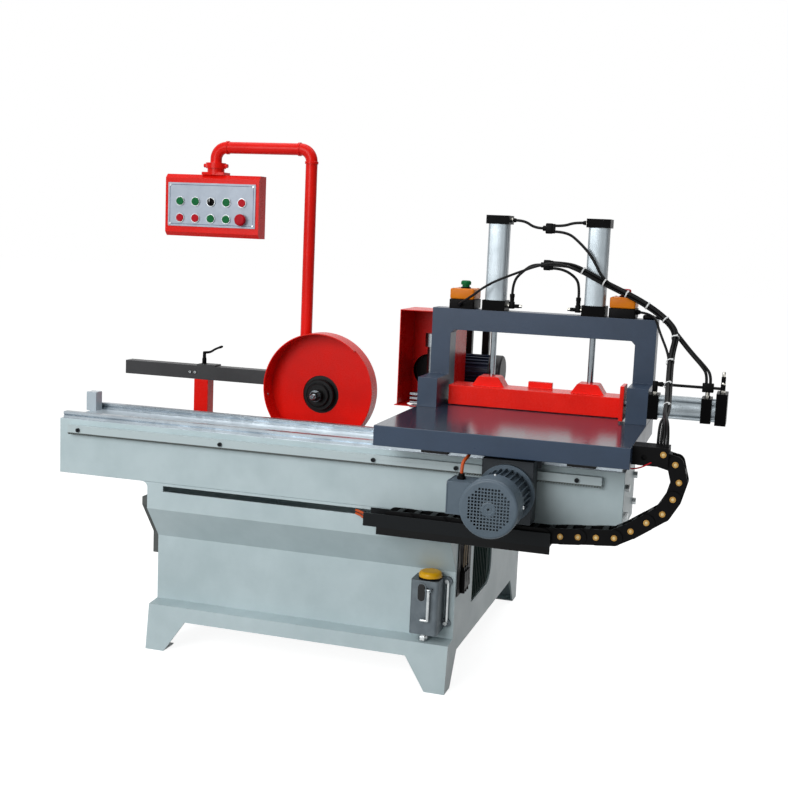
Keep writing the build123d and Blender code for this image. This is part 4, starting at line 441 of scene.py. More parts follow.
# Moulded ABS: a strong even colour under a soft sheen.
YELLOW_ABS = Finish("amber_moulded_abs", "#DE7D10", "#D2700A", 0.36, grain_mm=0.8, grain_depth=0.1,
                    patch_mm=40.0, specular=0.15)
CAP_YELLOW = Finish("yellow_moulded_cap", "#E0A90A", "#D09A05", 0.34, grain_mm=0.8,
                    grain_depth=0.1, patch_mm=30.0)
GREEN_ABS = Finish("green_push_button", "#0B6A38", "#075C2F", 0.4, grain_mm=2.0, grain_depth=0.04,
                   patch_mm=10.0, specular=0.1)
RED_ABS = replace(GREEN_ABS, name="red_push_button", colour="#B80F20", tint="#A80A1A")
# Extruded hose: black and faintly greasy. Its drawn lines are too fine to show, so only its
# sheen varies.
HOSE_BLACK = Finish("black_polyurethane_hose", "#0A0B0C", "#111213", 0.32, grain_mm=2.5,
                    grain_depth=0.06, patch_mm=35.0, specular=0.1)
# PVC sheath: a duller skin than the hose, in dark grey, orange or tan.
CABLE_GREY = Finish("dark_grey_pvc_cable", "#0D0E0F", "#141516", 0.4, grain_mm=2.0,
                    grain_depth=0.06, patch_mm=40.0, specular=0.1)
ORANGE_PVC = Finish("orange_pvc_cable", "#C4531E", "#B24616", 0.4, grain_mm=2.0, grain_depth=0.06,
                    patch_mm=30.0)
PALE_WIRE = replace(ORANGE_PVC, name="tan_pvc_wire", colour="#A08C72", tint="#7E6C56",
                    roughness=0.44)


class Way(Enum):
    """A direction along one axis of the machine."""

    RIGHT = (1, 0, 0)
    LEFT = (-1, 0, 0)
    BACK = (0, 1, 0)
    FRONT = (0, -1, 0)
    UP = (0, 0, 1)
    DOWN = (0, 0, -1)

    @property
    def axes(self) -> np.ndarray:
        """Find two directions across that make a right-handed set with this one.

        Returns:
            The two directions across and the direction itself, as rows.
        """
        along = np.array(self.value, float)
        axis = int(np.abs(along).argmax())
        first, second = np.eye(3)[(axis + 1) % 3], np.eye(3)[(axis + 2) % 3]
        if along[axis] < 0:
            first, second = second, first
        return np.array([first, second, along])


@dataclass
class Surface:
    """A skin of four-sided faces in metres, with end faces that close it."""

    points: np.ndarray
    quads: np.ndarray
    ends: list[list[int]] = field(default_factory=list)


def woven(rows: int, columns: int, closed: bool = False) -> np.ndarray:
    """Join a grid of points into faces: each point with its neighbours in the next column and row.

    Args:
        rows: Number of rings.
        columns: Points in a ring, whose last joins the first.
        closed: True if the last ring joins the first too.

    Returns:
        Four point numbers for each face.
    """
    row = np.arange(rows if closed else rows - 1)[:, None] * np.ones((1, columns), int)
    column = np.ones((len(row), 1), int) * np.arange(columns)[None, :]
    after, beside = (row + 1) % rows, (column + 1) % columns
    here, there = row * columns, after * columns
    quads = (here + column, here + beside, there + beside, there + column)
    return np.stack(quads, -1).reshape(-1, 4)


def closed_skin(rings: np.ndarray) -> Surface:
    """Make a skin of rings of points, with the first and the last ring as end faces.

    Args:
        rings: Points by ring and place in the ring, in metres.

    Returns:
        The closed surface.
    """
    rows, columns = rings.shape[:2]
    first = list(range(columns))[::-1]
    last = list(range((rows - 1) * columns, rows * columns))
    return Surface(rings.reshape(-1, 3), woven(rows, columns), [first, last])


def turned(profile: Sequence[Pair], seat: Sequence[float], way: Way, sides: int,
           hollow: bool = False) -> Surface:
    """Turn a profile round an axis: seat + height along + radius (cos a, sin a) across.

    Args:
        profile: Radius and height of each profile point, from the seat upwards.
        seat: Where height is zero, on the axis.
        way: The axis.
        sides: Points in a full turn, six for a hexagon.
        hollow: True if the profile closes on itself, as a ring's does.

    Returns:
        The turned surface.
    """
    radius, height = np.array(profile, float).T * MM
    angle = np.linspace(0, 2 * math.pi, sides, endpoint=False)
    first, second, along = way.axes
    ring = np.cos(angle)[:, None] * first + np.sin(angle)[:, None] * second
    spread, rise = radius[:, None, None] * ring, height[:, None, None] * along
    points = np.array(seat, float) * MM + spread + rise
    if hollow:
        return Surface(points.reshape(-1, 3), woven(len(radius), sides, True))
    return closed_skin(points)


def corners(half_first: float, half_second: float, corner: float, inset: np.ndarray,
            steps: int) -> tuple[np.ndarray, np.ndarray]:
    """Walk round a rectangle with round corners: each centre plus the radius by (cos a, sin a).

    Args:
        half_first: Half the width.
        half_second: Half the height.
        corner: Corner radius.
        inset: How far the outline is drawn in, for each ring.
        steps: Steps in a corner.

    Returns:
        First and second coordinate of the outline, by ring and place.
    """
    quarter = np.linspace(0, math.pi / 2, steps + 1)
    turn = np.concatenate([quarter + side * math.pi / 2 for side in range(4)])
    side_first = np.repeat([1, -1, -1, 1], steps + 1)
    side_second = np.repeat([1, 1, -1, -1], steps + 1)
    reach = corner - inset[:, None]
    first = side_first * (half_first - corner) + reach * np.cos(turn)
    second = side_second * (half_second - corner) + reach * np.sin(turn)
    return first, second


def block(low: Sequence[float], high: Sequence[float], corner: float, edge: float,
          way: Way = Way.UP, steps: int = 4) -> Surface:
    """Carry a rectangle with round corners along an axis, drawn in at each end by a quarter circle.

    Args:
        low: Lowest corner.
        high: Highest corner.
        corner: Radius of the corners seen along the axis.
        edge: Radius of the edges of the two end faces.
        way: The axis.
        steps: Steps in each quarter circle.

    Returns:
        The rounded block.
    """
    axes = way.axes
    middle = (np.array(low, float) + high) / 2
    half = np.abs(axes) @ (np.array(high, float) - low) / 2
    quarter = np.linspace(0, math.pi / 2, steps + 1)
    inset, rise = edge * (1 - np.sin(quarter)), edge * (1 - np.cos(quarter))
    height = np.concatenate([rise - half[2], (half[2] - rise)[::-1]])
    drawn_in = np.concatenate([inset, inset[::-1]])
    first, second = corners(half[0], half[1], corner, drawn_in, steps)
    points = (middle + first[..., None] * axes[0] + second[..., None] * axes[1]
              + height[:, None, None] * axes[2])
    return closed_skin(points * MM)


def rim(middle: Sequence[float], half_first: float, half_second: float, corner: float, width: float,
        thickness: float, way: Way, steps: int = 6) -> Surface:
    """Carry a small rectangle round an outline with round corners.

    Args:
        middle: Centre of the outline, on the face that carries the rim.
        half_first: Half the outline's width.
        half_second: Half its height.
        corner: Its corner radius.
        width: Width of the rim, inwards from the outline.
        thickness: How far it stands up.
        way: The direction in which it stands up.
        steps: Steps in a corner.

    Returns:
        The closed rim.
    """
    axes = way.axes
    drawn_in = np.array([0, 0, width, width])
    first, second = corners(half_first, half_second, corner, drawn_in, steps)
    height = np.array([0, thickness, thickness, 0])
    points = (np.array(middle, float) + first[..., None] * axes[0] + second[..., None] * axes[1]
              + height[:, None, None] * axes[2])
    return Surface(points.reshape(-1, 3) * MM, woven(4, first.shape[1], True))


def tube(path: np.ndarray, radius: np.ndarray, up: Point, sides: int = 16) -> Surface:
    """Carry a circle along a path, each ring across the path's own direction.

    Args:
        path: Points of the path.
        radius: The circle's radius at each point.
        up: A direction that the path never takes.
        sides: Points in a ring.

    Returns:
        The closed tube.
    """
    along = np.gradient(path, axis=0)
    along /= np.linalg.norm(along, axis=1, keepdims=True)
    first = np.cross(along, up)
    first /= np.linalg.norm(first, axis=1, keepdims=True)
    second = np.cross(along, first)
    angle = np.linspace(0, 2 * math.pi, sides, endpoint=False)[None, :, None]
    ring = np.cos(angle) * first[:, None] + np.sin(angle) * second[:, None]
    return closed_skin((path[:, None] + radius[:, None, None] * ring) * MM)


def strap(middle: np.ndarray, along: np.ndarray, wide: np.ndarray, half_wide: float,
          half_thin: float, width: float, thickness: float, turns: int = 28) -> Surface:
    """Bend a flat strap into an oval round a bundle: middle + a cos t wide + b sin t across.

    Args:
        middle: Centre of the bundle.
        along: Direction of the bundle.
        wide: Direction in which the bundle is wide.
        half_wide: Half its width.
        half_thin: Half its thickness.
        width: Width of the strap.
        thickness: Thickness of the strap.
        turns: Points round the oval.

    Returns:
        The closed strap.
    """
    along = along / np.linalg.norm(along)
    wide = wide - (wide @ along) * along
    wide = wide / np.linalg.norm(wide)
    across = np.cross(along, wide)
    out = np.array([0, thickness, thickness, 0])[None, :, None]
    shift = np.array([0.5, 0.5, -0.5, -0.5])[None, :, None] * width
    angle = np.linspace(0, 2 * math.pi, turns, endpoint=False)[:, None, None]
    points = (middle + (half_wide + out) * np.cos(angle) * wide
              + (half_thin + out) * np.sin(angle) * across + shift * along)
    return Surface(points.reshape(-1, 3) * MM, woven(turns, 4, True))


def screw_head(seat: Sequence[float], way: Way, radius: float, height: float) -> Surface:
    """Turn the profile of a pan head with a round recess round the screw's axis.

    Args:
        seat: Where the head rests, on the axis.
        way: Where the head points.
        radius: Radius of the head.
        height: Height of the head.

    Returns:
        The screw head.
    """
    profile = ((radius, 0), (radius, 0.55 * height), (0.8 * radius, height),
               (0.42 * radius, height), (0.36 * radius, 0.4 * height), (0.05, 0.35 * height))
    return turned(profile, seat, way, sides=20)


def hexagon(seat: Sequence[float], way: Way, across: float, height: float) -> Surface:
    """Turn the profile of a nut or bolt head with a small chamfer in six steps.

    Args:
        seat: Where it rests, on the axis.
        way: Where it points.
        across: Width across its flats.
        height: Its height.

    Returns:
        The hexagon.
    """
    reach = across / math.sqrt(3)
    profile = ((reach, 0), (reach, 0.85 * height), (0.9 * reach, height), (0.05, height))
    return turned(profile, seat, way, sides=6)


def around(half_first: float, half_second: float) -> list[Pair]:
    """Return the four corners of a rectangle, measured from its middle."""
    return [(first * half_first, second * half_second) for first in (-1, 1) for second in (-1, 1)]


def stepped(place: Point, steps: Sequence[Point]) -> list[Point]:
    """Return the points that lie at these steps from a place."""
    return [tuple(spot) for spot in (np.array(place) + np.reshape(steps, (-1, 3))).tolist()]


def link_piece(piece: bpy.types.Object, body: str, replaced: Sequence[str]) -> bpy.types.Object:
    """Put a piece in the scene on a body, in place of the nodes that it stands for.

    Args:
        piece: The new object.
        body: The body that it rides on.
        replaced: Nodes that it stands for.

    Returns:
        The same object.
    """
    bpy.context.scene.collection.objects.link(piece)
    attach(piece, body)
    if replaced:
        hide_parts(*replaced)
    log.info("%s rides on %s", piece.name, body)
    return piece


class Shell:
    """One piece put together from several surfaces, each with its own finish."""

    def __init__(self, name: str) -> None:
        """Start an empty piece with this name."""
        self.name = name
        self.surfaces: list[tuple[Surface, Finish]] = []

    def add(self, surface: Surface, finish: Finish) -> None:
        """Add a surface in a finish."""
        self.surfaces.append((surface, finish))

    def build(self, body: str, *replaced: str) -> bpy.types.Object:
        """Make the mesh and put it on a body.

        Args:
            body: The body that it rides on.
            replaced: Nodes that it stands for.

        Returns:
            The finished object.
        """
        finishes = list(dict.fromkeys(finish for _, finish in self.surfaces))
        faces: list[list[int]] = []
        slots: list[int] = []
        start = 0
        for surface, finish in self.surfaces:
            made = (surface.quads + start).tolist()
            made += [[start + corner for corner in end] for end in surface.ends]
            faces += made
            slots += [finishes.index(finish)] * len(made)
            start += len(surface.points)
        mesh = bpy.data.meshes.new(self.name)
        points = np.concatenate([surface.points for surface, _ in self.surfaces])
        mesh.from_pydata(points, [], faces)
        for finish in finishes:
            mesh.materials.append(finish.material())
        mesh.polygons.foreach_set("material_index", slots)
        mesh.polygons.foreach_set("use_smooth", [True] * len(faces))
        mesh.set_sharp_from_angle(angle=SHARP_ANGLE)
        return link_piece(bpy.data.objects.new(self.name, mesh), body, replaced)


def node_box(node: str) -> tuple[np.ndarray, np.ndarray]:
    """Return the lowest and highest corner of a node in millimetres."""
    low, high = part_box(node)
    return np.array(low) / MM, np.array(high) / MM


def paint(finish: Finish, *nodes: str) -> None:
    """Give CAD nodes whose shape is right a finish.

    Args:
        finish: The finish.
        nodes: The nodes that get it.
    """
    for node in nodes:
        mesh = frame["nodes"][node].data
        mesh.materials.clear()
        mesh.materials.append(finish.material())
        log.info("%s painted %s", node, finish.name)


def merged_copy(node: str, name: str) -> bpy.types.Mesh:
    """Copy a node's mesh with its corners merged and its flat faces joined.

    Args:
        node: The CAD node.
        name: Name of the new mesh.

    Returns:
        The new mesh.
    """
    work = bmesh.new()
    work.from_mesh(frame["nodes"][node].data)
    bmesh.ops.remove_doubles(work, verts=work.verts, dist=WELD_DISTANCE)
    bmesh.ops.dissolve_limit(work, angle_limit=FLAT_ANGLE, verts=work.verts, edges=work.edges)
    mesh = bpy.data.meshes.new(name)
    work.to_mesh(mesh)
    work.free()
    if "custom_normal" in mesh.attributes:
        mesh.attributes.remove(mesh.attributes["custom_normal"])
    mesh.materials.clear()
    return mesh


def softened(node: str, finish: Finish, edge_mm: float) -> bpy.types.Object:
    """Stand in for a node with a copy whose sharp edges are rounded, so that they catch the light.

    Args:
        node: The CAD node.
        finish: Its finish.
        edge_mm: Width of the rounded edges.

    Returns:
        The new object.
    """
    name = node + "_rounded"
    mesh = merged_copy(node, name)
    mesh.materials.append(finish.material())
    mesh.polygons.foreach_set("use_smooth", [True] * len(mesh.polygons))
    mesh.polygons.foreach_set("material_index", [0] * len(mesh.polygons))
    mesh.set_sharp_from_angle(angle=SHARP_ANGLE)
    piece = bpy.data.objects.new(name, mesh)
    rounding = piece.modifiers.new("rounded_edges", "BEVEL")
    rounding.width = edge_mm * MM
    rounding.segments = 2
    rounding.limit_method = "ANGLE"
    rounding.angle_limit = SHARP_ANGLE
    rounding.harden_normals = True
    return link_piece(piece, frame["nodes"][node]["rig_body"], [node])


def smooth_curve(name: str, points: Sequence[Point]) -> bpy.types.Curve:
    """Make a smooth open spline with these control points.

    Args:
        name: Name of the curve.
        points: Control points in millimetres.

    Returns:
        The curve, with no thickness yet.
    """
    curve = bpy.data.curves.new(name, "CURVE")
    curve.dimensions = "3D"
    curve.resolution_u = 10
    spline = curve.splines.new("NURBS")
    spline.points.add(len(points) - 1)
    spots = np.column_stack([np.array(points, float) * MM, np.ones(len(points))])
    spline.points.foreach_set("co", spots.ravel())
    spline.order_u = 3
    spline.use_endpoint_u = True
    return curve


def smooth_line(points: Sequence[Point]) -> np.ndarray:
    """Follow the smooth spline of a route.

    Args:
        points: Control points in millimetres.

    Returns:
        Points along the spline, in millimetres.
    """
    holder = bpy.data.objects.new("route", smooth_curve("route", points))
    bpy.context.scene.collection.objects.link(holder)
    mesh = bpy.data.meshes.new_from_object(holder)
    spots = np.empty(len(mesh.vertices) * 3)
    mesh.vertices.foreach_get("co", spots)
    bpy.data.objects.remove(holder)
    return spots.reshape(-1, 3) / MM


def lay_cord(name: str, points: Sequence[Point], diameter: float, finish: Finish, body: str,
             replaced: Sequence[str] = ()) -> bpy.types.Object:
    """Args:
        name: Name of the piece.
        points: Control points in millimetres.
        diameter: Outside diameter.
        finish: Its finish.
        body: The body that it rides on.
        replaced: Nodes that it stands for.

    Returns:
        The cord's object.
    """
    curve = smooth_curve(name, points)
    curve.bevel_depth = diameter / 2 * MM
    curve.bevel_resolution = 4
    curve.use_fill_caps = True
    curve.materials.append(finish.material())
    cord = link_piece(bpy.data.objects.new(name, curve), body, replaced)
    return cord


@dataclass(frozen=True)
class CarriagePlaces:
    """Places on the carriage that fittings, boxes and hoses share, left before right."""

    high_ports: tuple[Point, Point] = ((559.0, -77.5, 1452.0), (777.0, -77.5, 1452.0))
    valve_tops: tuple[Point, Point] = ((559.0, -77.5, 1213.0), (777.0, -77.5, 1213.0))
    high_union: Point = (668.0, -77.5, 1430.0)
    low_union: Point = (668.0, -77.5, 1312.0)
    union_half: float = 20.0
    junction_top: Point = (1208.5, -218.5, 982.0)
    saddle_end: Point = (1022.0, -77.5, 1163.0)
    box_glands: tuple[Point, Point] = ((394.0, -112.5, 1171.5), (964.0, -84.5, 1177.5))


PLACES = CarriagePlaces()


class Strand(Enum):
    """Strands of the bundle: place in the row at its end, then mm above and before its middle."""

    MIDDLE = (0, 0.0, 0.0)
    LOWER_SUPPLY = (0, 4.7, -4.7)
    UPPER_SUPPLY = (2, 4.7, 4.7)
    LEFT_CABLE = (1, -4.7, 4.7)
    RIGHT_CABLE = (-1, -12.2, -1.0)
    SIDE_HOSE = (-1, -4.7, -4.7)


@dataclass(frozen=True)
class Route:
    """The way of one hose or cable, from its start, along the bundle if it is a strand, to its end.

    Leaving bends are steps from the start and arriving bends steps from the end. A strand joins
    the bundle at one step and parts from it before another, or stays in it to the bracket.
    """

    name: str
    start: Point
    leaving: tuple[Point, ...]
    strand: Strand | None = None
    joins: int = 0
    parts: int | None = None
    arriving: tuple[Point, ...] = ()
    end: Point | None = None
    diameter: float = 9.0
    finish: Finish = HOSE_BLACK


@dataclass
class Hoses:
    """Air hoses and cables of the carriage, most of them tied into a bundle to the cable chain."""

    places: CarriagePlaces = PLACES
    cable: float = 8.0
    motor_cable: float = 10.0
    branch: float = 9.5
    junction_half_pitch: float = 6.0
    motor_gland: Point = (578.0, -741.0, 730.0)
    bundle_start: Point = (831.0, -114.5, 1312.0)
    bundle_steps: tuple[Point, ...] = (
        (-54, -17, -3), (31, -17, -46), (148, -17, -95), (229, -20, -146), (271, -52, -190),
        (262, -112, -250), (266, -187, -300), (273, -272, -350), (279, -362, -380),
        (280, -425, -395))
    above: Point = (0.46, -0.46, 0.76)
    bracket: Point = (1109.0, -601.5, 842.0)
    bracket_drop: float = 58.0
    end_shift: float = 9.4
    tied: str = "lower_supply_hose"
    ties_at: tuple[Point, ...] = (
        (0.02, 0.0, 11.3), (0.103, 0.0, 11.3), (0.189, 0.0, 11.3), (0.27, 0.0, 11.3),
        (0.348, 0.0, 11.3), (0.43, 0.0, 11.3), (0.54, -3.2, 13.6), (0.66, -3.2, 13.6),
        (0.8, -3.2, 13.6))
    tie_depth: float = 11.0
    tie_width: float = 4.5
    tie_thickness: float = 1.3
    tie_head: Profile = ((3.2, 0), (3.4, 1), (3.4, 6), (2.6, 7))
    tie_head_gap: float = 0.5
    look_ahead: float = 0.01

    def in_bundle(self, strand: Strand, first: int, last: int) -> list[Point]:
        """Follow a strand between two steps of the bundle: step + a above + b (way x above).

        Args:
            strand: The strand.
            first: The step where it joins.
            last: The step before which it leaves.

        Returns:
            The strand's points.
        """
        _, rise, lead = strand.value
        steps = np.array(self.bundle_steps, float)
        before = np.cross(np.gradient(steps, axis=0), self.above)
        before /= np.linalg.norm(before, axis=1, keepdims=True)
        points = np.array(self.bundle_start) + steps + rise * np.array(self.above) + lead * before
        return [tuple(point) for point in points[first:last].tolist()]

    def to_bracket(self, strand: Strand, first: int) -> list[Point]:
        """Follow a strand from a step to the chain bracket, where the strands end in a row.

        Args:
            strand: The strand.
            first: The step where it joins the bundle.

        Returns:
            The rest of the strand's points.
        """
        row, _, _ = strand.value
        x, y, z = self.bracket
        end_x, end_y = x + row * self.end_shift, y - row * self.end_shift
        ends = [(end_x, end_y, z + self.bracket_drop), (end_x, end_y, z)]
        return self.in_bundle(strand, first, len(self.bundle_steps)) + ends

    def routes(self) -> tuple[Route, ...]:
        """List the ways of all hoses and cables.

        Returns:
            One route for each.
        """
        places, out = self.places, self.places.union_half
        left_port, right_port = places.high_ports
        left_valve, right_valve = places.valve_tops
        left_gland, right_gland = places.box_glands
        branches = [(-out, 0, 0), (out, 0, self.branch), (out, 0, 0), (out, 0, -self.branch)]
        high_left, high_upper, _, high_lower = stepped(places.high_union, branches)
        low_left, low_upper, low_middle, low_lower = stepped(places.low_union, branches)
        half = self.junction_half_pitch
        first_end, second_end = stepped(places.junction_top, [(-half, 0, 0), (half, 0, 0)])
        return (
            Route("left_upper_hose", left_port, ((28, 0, 0),), arriving=((-28, 0, 0),),
                  end=high_left),
            Route("right_upper_hose", high_upper, ((28, 0, 0),), arriving=((-28, 0, 0),),
                  end=right_port),
            Route("left_lower_hose", left_valve, ((0, 0, 42),),
                  arriving=((-56, 0, -22), (-26, 0, 0)), end=low_left),
            Route("right_lower_hose", low_lower, ((32, 0, 0),),
                  arriving=((-14, 0, 65), (0, 0, 38)), end=right_valve),
            Route("lower_supply_hose", low_upper, ((40, 0, 0),), Strand.LOWER_SUPPLY),
            Route("upper_supply_hose", high_lower,
                  ((40, 0, 0), (87, -39, -30.5), (134, -57, -75.5)), Strand.UPPER_SUPPLY, joins=1),
            Route("left_button_cable", left_gland,
                  ((0, -42, 0), (46, -50, 28), (78, -48, 55), (108, -42, 75), (142, -36, 92),
                   (200, -26, 117), (258, -26, 140), (314, -23, 150)), Strand.LEFT_CABLE,
                  diameter=self.cable, finish=CABLE_GREY),
            Route("right_button_cable", right_gland,
                  ((30, 0, 0), (66, -34, -14), (82, -76, -50)), Strand.RIGHT_CABLE, joins=5,
                  diameter=self.cable, finish=CABLE_GREY),
            Route("first_side_hose", low_middle, ((36, 0, 0),), Strand.SIDE_HOSE, parts=4,
                  arriving=((-102.5, 72, 131), (-56.5, 38, 84), (-16, 8, 48), (0, 0, 26)),
                  end=first_end),
            Route("second_side_hose", places.saddle_end, ((34, 0, 0),),
                  arriving=((-107.5, 79, 132), (-61.5, 45, 85), (-20, 15, 49), (0, 0, 26)),
                  end=second_end),
            Route("motor_cable", self.motor_gland,
                  ((0, 0, 20), (0, 14, 37), (4, 66, 45), (4, 80, 62), (4, 80, 104)),
                  diameter=self.motor_cable, finish=ORANGE_PVC))

    def points(self, route: Route) -> list[Point]:
        """Work out the control points of a route.

        Args:
            route: The route.

        Returns:
            Its points in millimetres.
        """
        points = [route.start, *stepped(route.start, route.leaving)]
        if route.strand and route.parts:
            points += self.in_bundle(route.strand, route.joins, route.parts)
        elif route.strand:
            points += self.to_bracket(route.strand, route.joins)
        if route.end:
            points += [*stepped(route.end, route.arriving), route.end]
        return points

    def build(self) -> None:
        """Lay every hose, and tie the bundle on the hose that carries the ties."""
        for route in self.routes():
            ties = [self.ties()] if route.name == self.tied else []
            lay_cord(route.name, self.points(route), route.diameter, route.finish, "carriage",
                     ["hoses"])

    def ties(self) -> bpy.types.Object:
        """Wrap white ties round the bundle, at shares of the smooth line through its middle.

        Returns:
            All ties as one piece.
        """
        line = smooth_line(self.to_bracket(Strand.MIDDLE, 0))
        steps = np.linalg.norm(np.diff(line, axis=0), axis=1)
        walked = np.concatenate([[0], np.cumsum(steps)]) / steps.sum()
        wide = np.array(self.above)
        shell = Shell("cable_ties")
        for share, shift, half in self.ties_at:
            middle, ahead = (
                np.array([np.interp(place, walked, line[:, axis]) for axis in range(3)])
                + shift * wide for place in (share, share + self.look_ahead))
            shell.add(strap(middle, ahead - middle, wide, half, self.tie_depth, self.tie_width,
                            self.tie_thickness), WHITE_NYLON)
            head = middle + wide * (half + self.tie_head_gap)
            shell.add(turned(self.tie_head, head, Way.FRONT, sides=8), WHITE_NYLON)
        return shell.build("carriage")


@dataclass
class AirFittings:
    """Push-in fittings, speed controllers, Y unions and the tube line on the side cylinder."""

    places: CarriagePlaces = PLACES
    cap_faces: Pair = (543.0, 793.0)
    low_port_z: float = 1173.0
    straight_nut: Pair = (14.5, 6.0)
    straight_collar: Profile = ((6.6, 5), (7.2, 6), (7.2, 12), (6.6, 13))
    release_ring: Profile = ((6.2, 12.8), (6.2, 16), (5.2, 16))
    valve_neck: Profile = ((6.5, 0), (6.5, 16))
    valve_half: float = 9.0
    valve_rise: float = 14.0
    socket_height: float = 26.0
    valve_socket: Profile = ((7.2, 0), (7.2, 14), (8.2, 15), (8.2, 25), (6.6, 26))
    knob_sleeve: Profile = ((5.6, 8), (6.4, 9), (6.4, 24), (5.6, 25))
    knob_end: Profile = ((4.6, 24.5), (5.4, 25.5), (5.4, 33), (4.4, 34), (0.1, 34))
    union_low: Point = (-11.0, -8.0, -17.0)
    union_high: Point = (12.0, 8.0, 17.0)
    union_collar: Profile = ((8.2, 0), (8.8, 1), (8.8, 11), (7.4, 12))
    union_mouth_low: Point = (11.0, -6.5, -15.5)
    union_mouth_high: Point = (20.0, 6.5, 15.5)
    side_xs: Point = (1050.5, 1208.5, 1252.5)
    side_face: float = 938.0
    end_face: float = 956.0
    line_z: float = 968.0
    port_nut: Pair = (15.0, 7.0)
    elbow_half: float = 8.0
    elbow_foot: float = 6.5
    elbow_rise: float = 9.0
    elbow_collar: Profile = ((7.0, 6), (7.0, 15), (7.8, 16), (7.8, 23), (6.2, 24))
    line_tube: Profile = ((4.5, 18), (4.5, 202))
    junction_neck: Profile = ((6.8, 6), (6.8, 18))
    junction_half: Point = (17.0, 9.5, 14.0)
    end_stack: tuple[tuple[Profile, int, Finish], ...] = (
        (((6.4, 6.5), (7.4, 7.5), (7.4, 24), (6.4, 25)), 24, BLACK_NYLON),
        (((7.0, 25), (7.4, 26), (7.4, 30), (7.0, 31)), 24, NICKEL_PLATE),
        (((5.4, 31), (6.6, 32), (6.6, 48), (5.6, 49)), 24, BLACK_NYLON),
        (((4.4, 48.5), (5.0, 50), (5.0, 62), (3.8, 64), (0.1, 64)), 20, NICKEL_PLATE))
    saddle_low: Point = (986.0, -93.5, 1156.0)
    saddle_high: Point = (1022.0, -61.5, 1170.0)

    def straight(self, shell: Shell, seat: Point, way: Way) -> None:
        """Add a straight push-in fitting: hexagon, knurled collar and black release ring.

        Args:
            shell: The piece that gets it.
            seat: Where it is screwed in.
            way: Where its hose leaves.
        """
        shell.add(hexagon(seat, way, *self.straight_nut), NICKEL_PLATE)
        shell.add(turned(self.straight_collar, seat, way, sides=24), BLACK_NYLON)
        shell.add(turned(self.release_ring, seat, way, sides=24), BLACK_NYLON)

    def controller(self, shell: Shell, cap_x: float, top: Point, way: Way) -> None:
        """Add a speed controller: neck on the cap, body, hose socket and a knob with a bright end.

        Args:
            shell: The piece that gets it.
            cap_x: The face of the cylinder cap.
            top: Where its hose leaves.
            way: Where its knob points.
        """
        x, y, top_z = top
        z, half = self.low_port_z, self.valve_half
        shell.add(turned(self.valve_neck, (cap_x, y, z), way, sides=20), NICKEL_PLATE)
        shell.add(block((x - half, y - half, z - half), (x + half, y + half, z + self.valve_rise),
                        corner=5, edge=1.5), BLACK_NYLON)
        shell.add(turned(self.valve_socket, (x, y, top_z - self.socket_height), Way.UP, sides=24),
                  BLACK_NYLON)
        shell.add(turned(self.knob_sleeve, (x, y, z), way, sides=20), BLACK_NYLON)
        shell.add(turned(self.knob_end, (x, y, z), way, sides=20), NICKEL_PLATE)

    def union(self, shell: Shell, middle: Point) -> None:
        """Add a Y union: a body with one round collar on the left and a flat mouth on the right.

        Args:
            shell: The piece that gets it.
            middle: The union's middle.
        """
        body_low, body_high, collar, mouth_low, mouth_high = stepped(middle, (
            self.union_low, self.union_high, (-self.places.union_half, 0, 0),
            self.union_mouth_low, self.union_mouth_high))
        shell.add(block(body_low, body_high, corner=7, edge=3, way=Way.RIGHT), BLACK_NYLON)
        shell.add(turned(self.union_collar, collar, Way.RIGHT, sides=24), BLACK_NYLON)
        shell.add(block(mouth_low, mouth_high, corner=6, edge=1.5, way=Way.RIGHT), BLACK_NYLON)

    def side_line(self, shell: Shell) -> None:
        """Add the elbow, tube, junction and tall end fitting on top of the side cylinder.

        Args:
            shell: The piece that gets them.
        """
        front_x, middle_x, end_x = self.side_xs
        y, z, face, half = self.places.junction_top[1], self.line_z, self.side_face, self.elbow_half
        shell.add(hexagon((front_x, y, face), Way.UP, *self.port_nut), NICKEL_PLATE)
        shell.add(block((front_x - half, y - half, face + self.elbow_foot),
                        (front_x + half, y + half, z + self.elbow_rise), corner=5, edge=2),
                  BLACK_NYLON)
        shell.add(turned(self.elbow_collar, (front_x, y, z), Way.RIGHT, sides=24), BLACK_NYLON)
        shell.add(turned(self.line_tube, (front_x, y, z), Way.RIGHT, sides=20), HOSE_BLACK)
        shell.add(hexagon((middle_x, y, face), Way.UP, *self.port_nut), NICKEL_PLATE)
        shell.add(turned(self.junction_neck, (middle_x, y, face), Way.UP, sides=24), NICKEL_PLATE)
        middle, reach = np.array([middle_x, y, z]), np.array(self.junction_half)
        shell.add(block(middle - reach, middle + reach, corner=4, edge=2, way=Way.RIGHT),
                  BLACK_NYLON)
        seat = (end_x, y, self.end_face)
        shell.add(hexagon(seat, Way.UP, *self.port_nut), NICKEL_PLATE)
        for profile, sides, finish in self.end_stack:
            shell.add(turned(profile, seat, Way.UP, sides), finish)

    def build(self) -> None:
        """Build all fittings and the hose saddle as one piece on the carriage."""
        places, ways = self.places, (Way.RIGHT, Way.LEFT)
        shell = Shell("push_in_fittings")
        for face, (_, y, z), way in zip(self.cap_faces, places.high_ports, ways):
            self.straight(shell, (face, y, z), way)
        for face, top, way in zip(self.cap_faces, places.valve_tops, ways):
            self.controller(shell, face, top, way)
        for middle in (places.high_union, places.low_union):
            self.union(shell, middle)
        self.side_line(shell)
        shell.add(block(self.saddle_low, self.saddle_high, corner=9, edge=5), BLACK_NYLON)
        shell.build("carriage", "air_fittings")


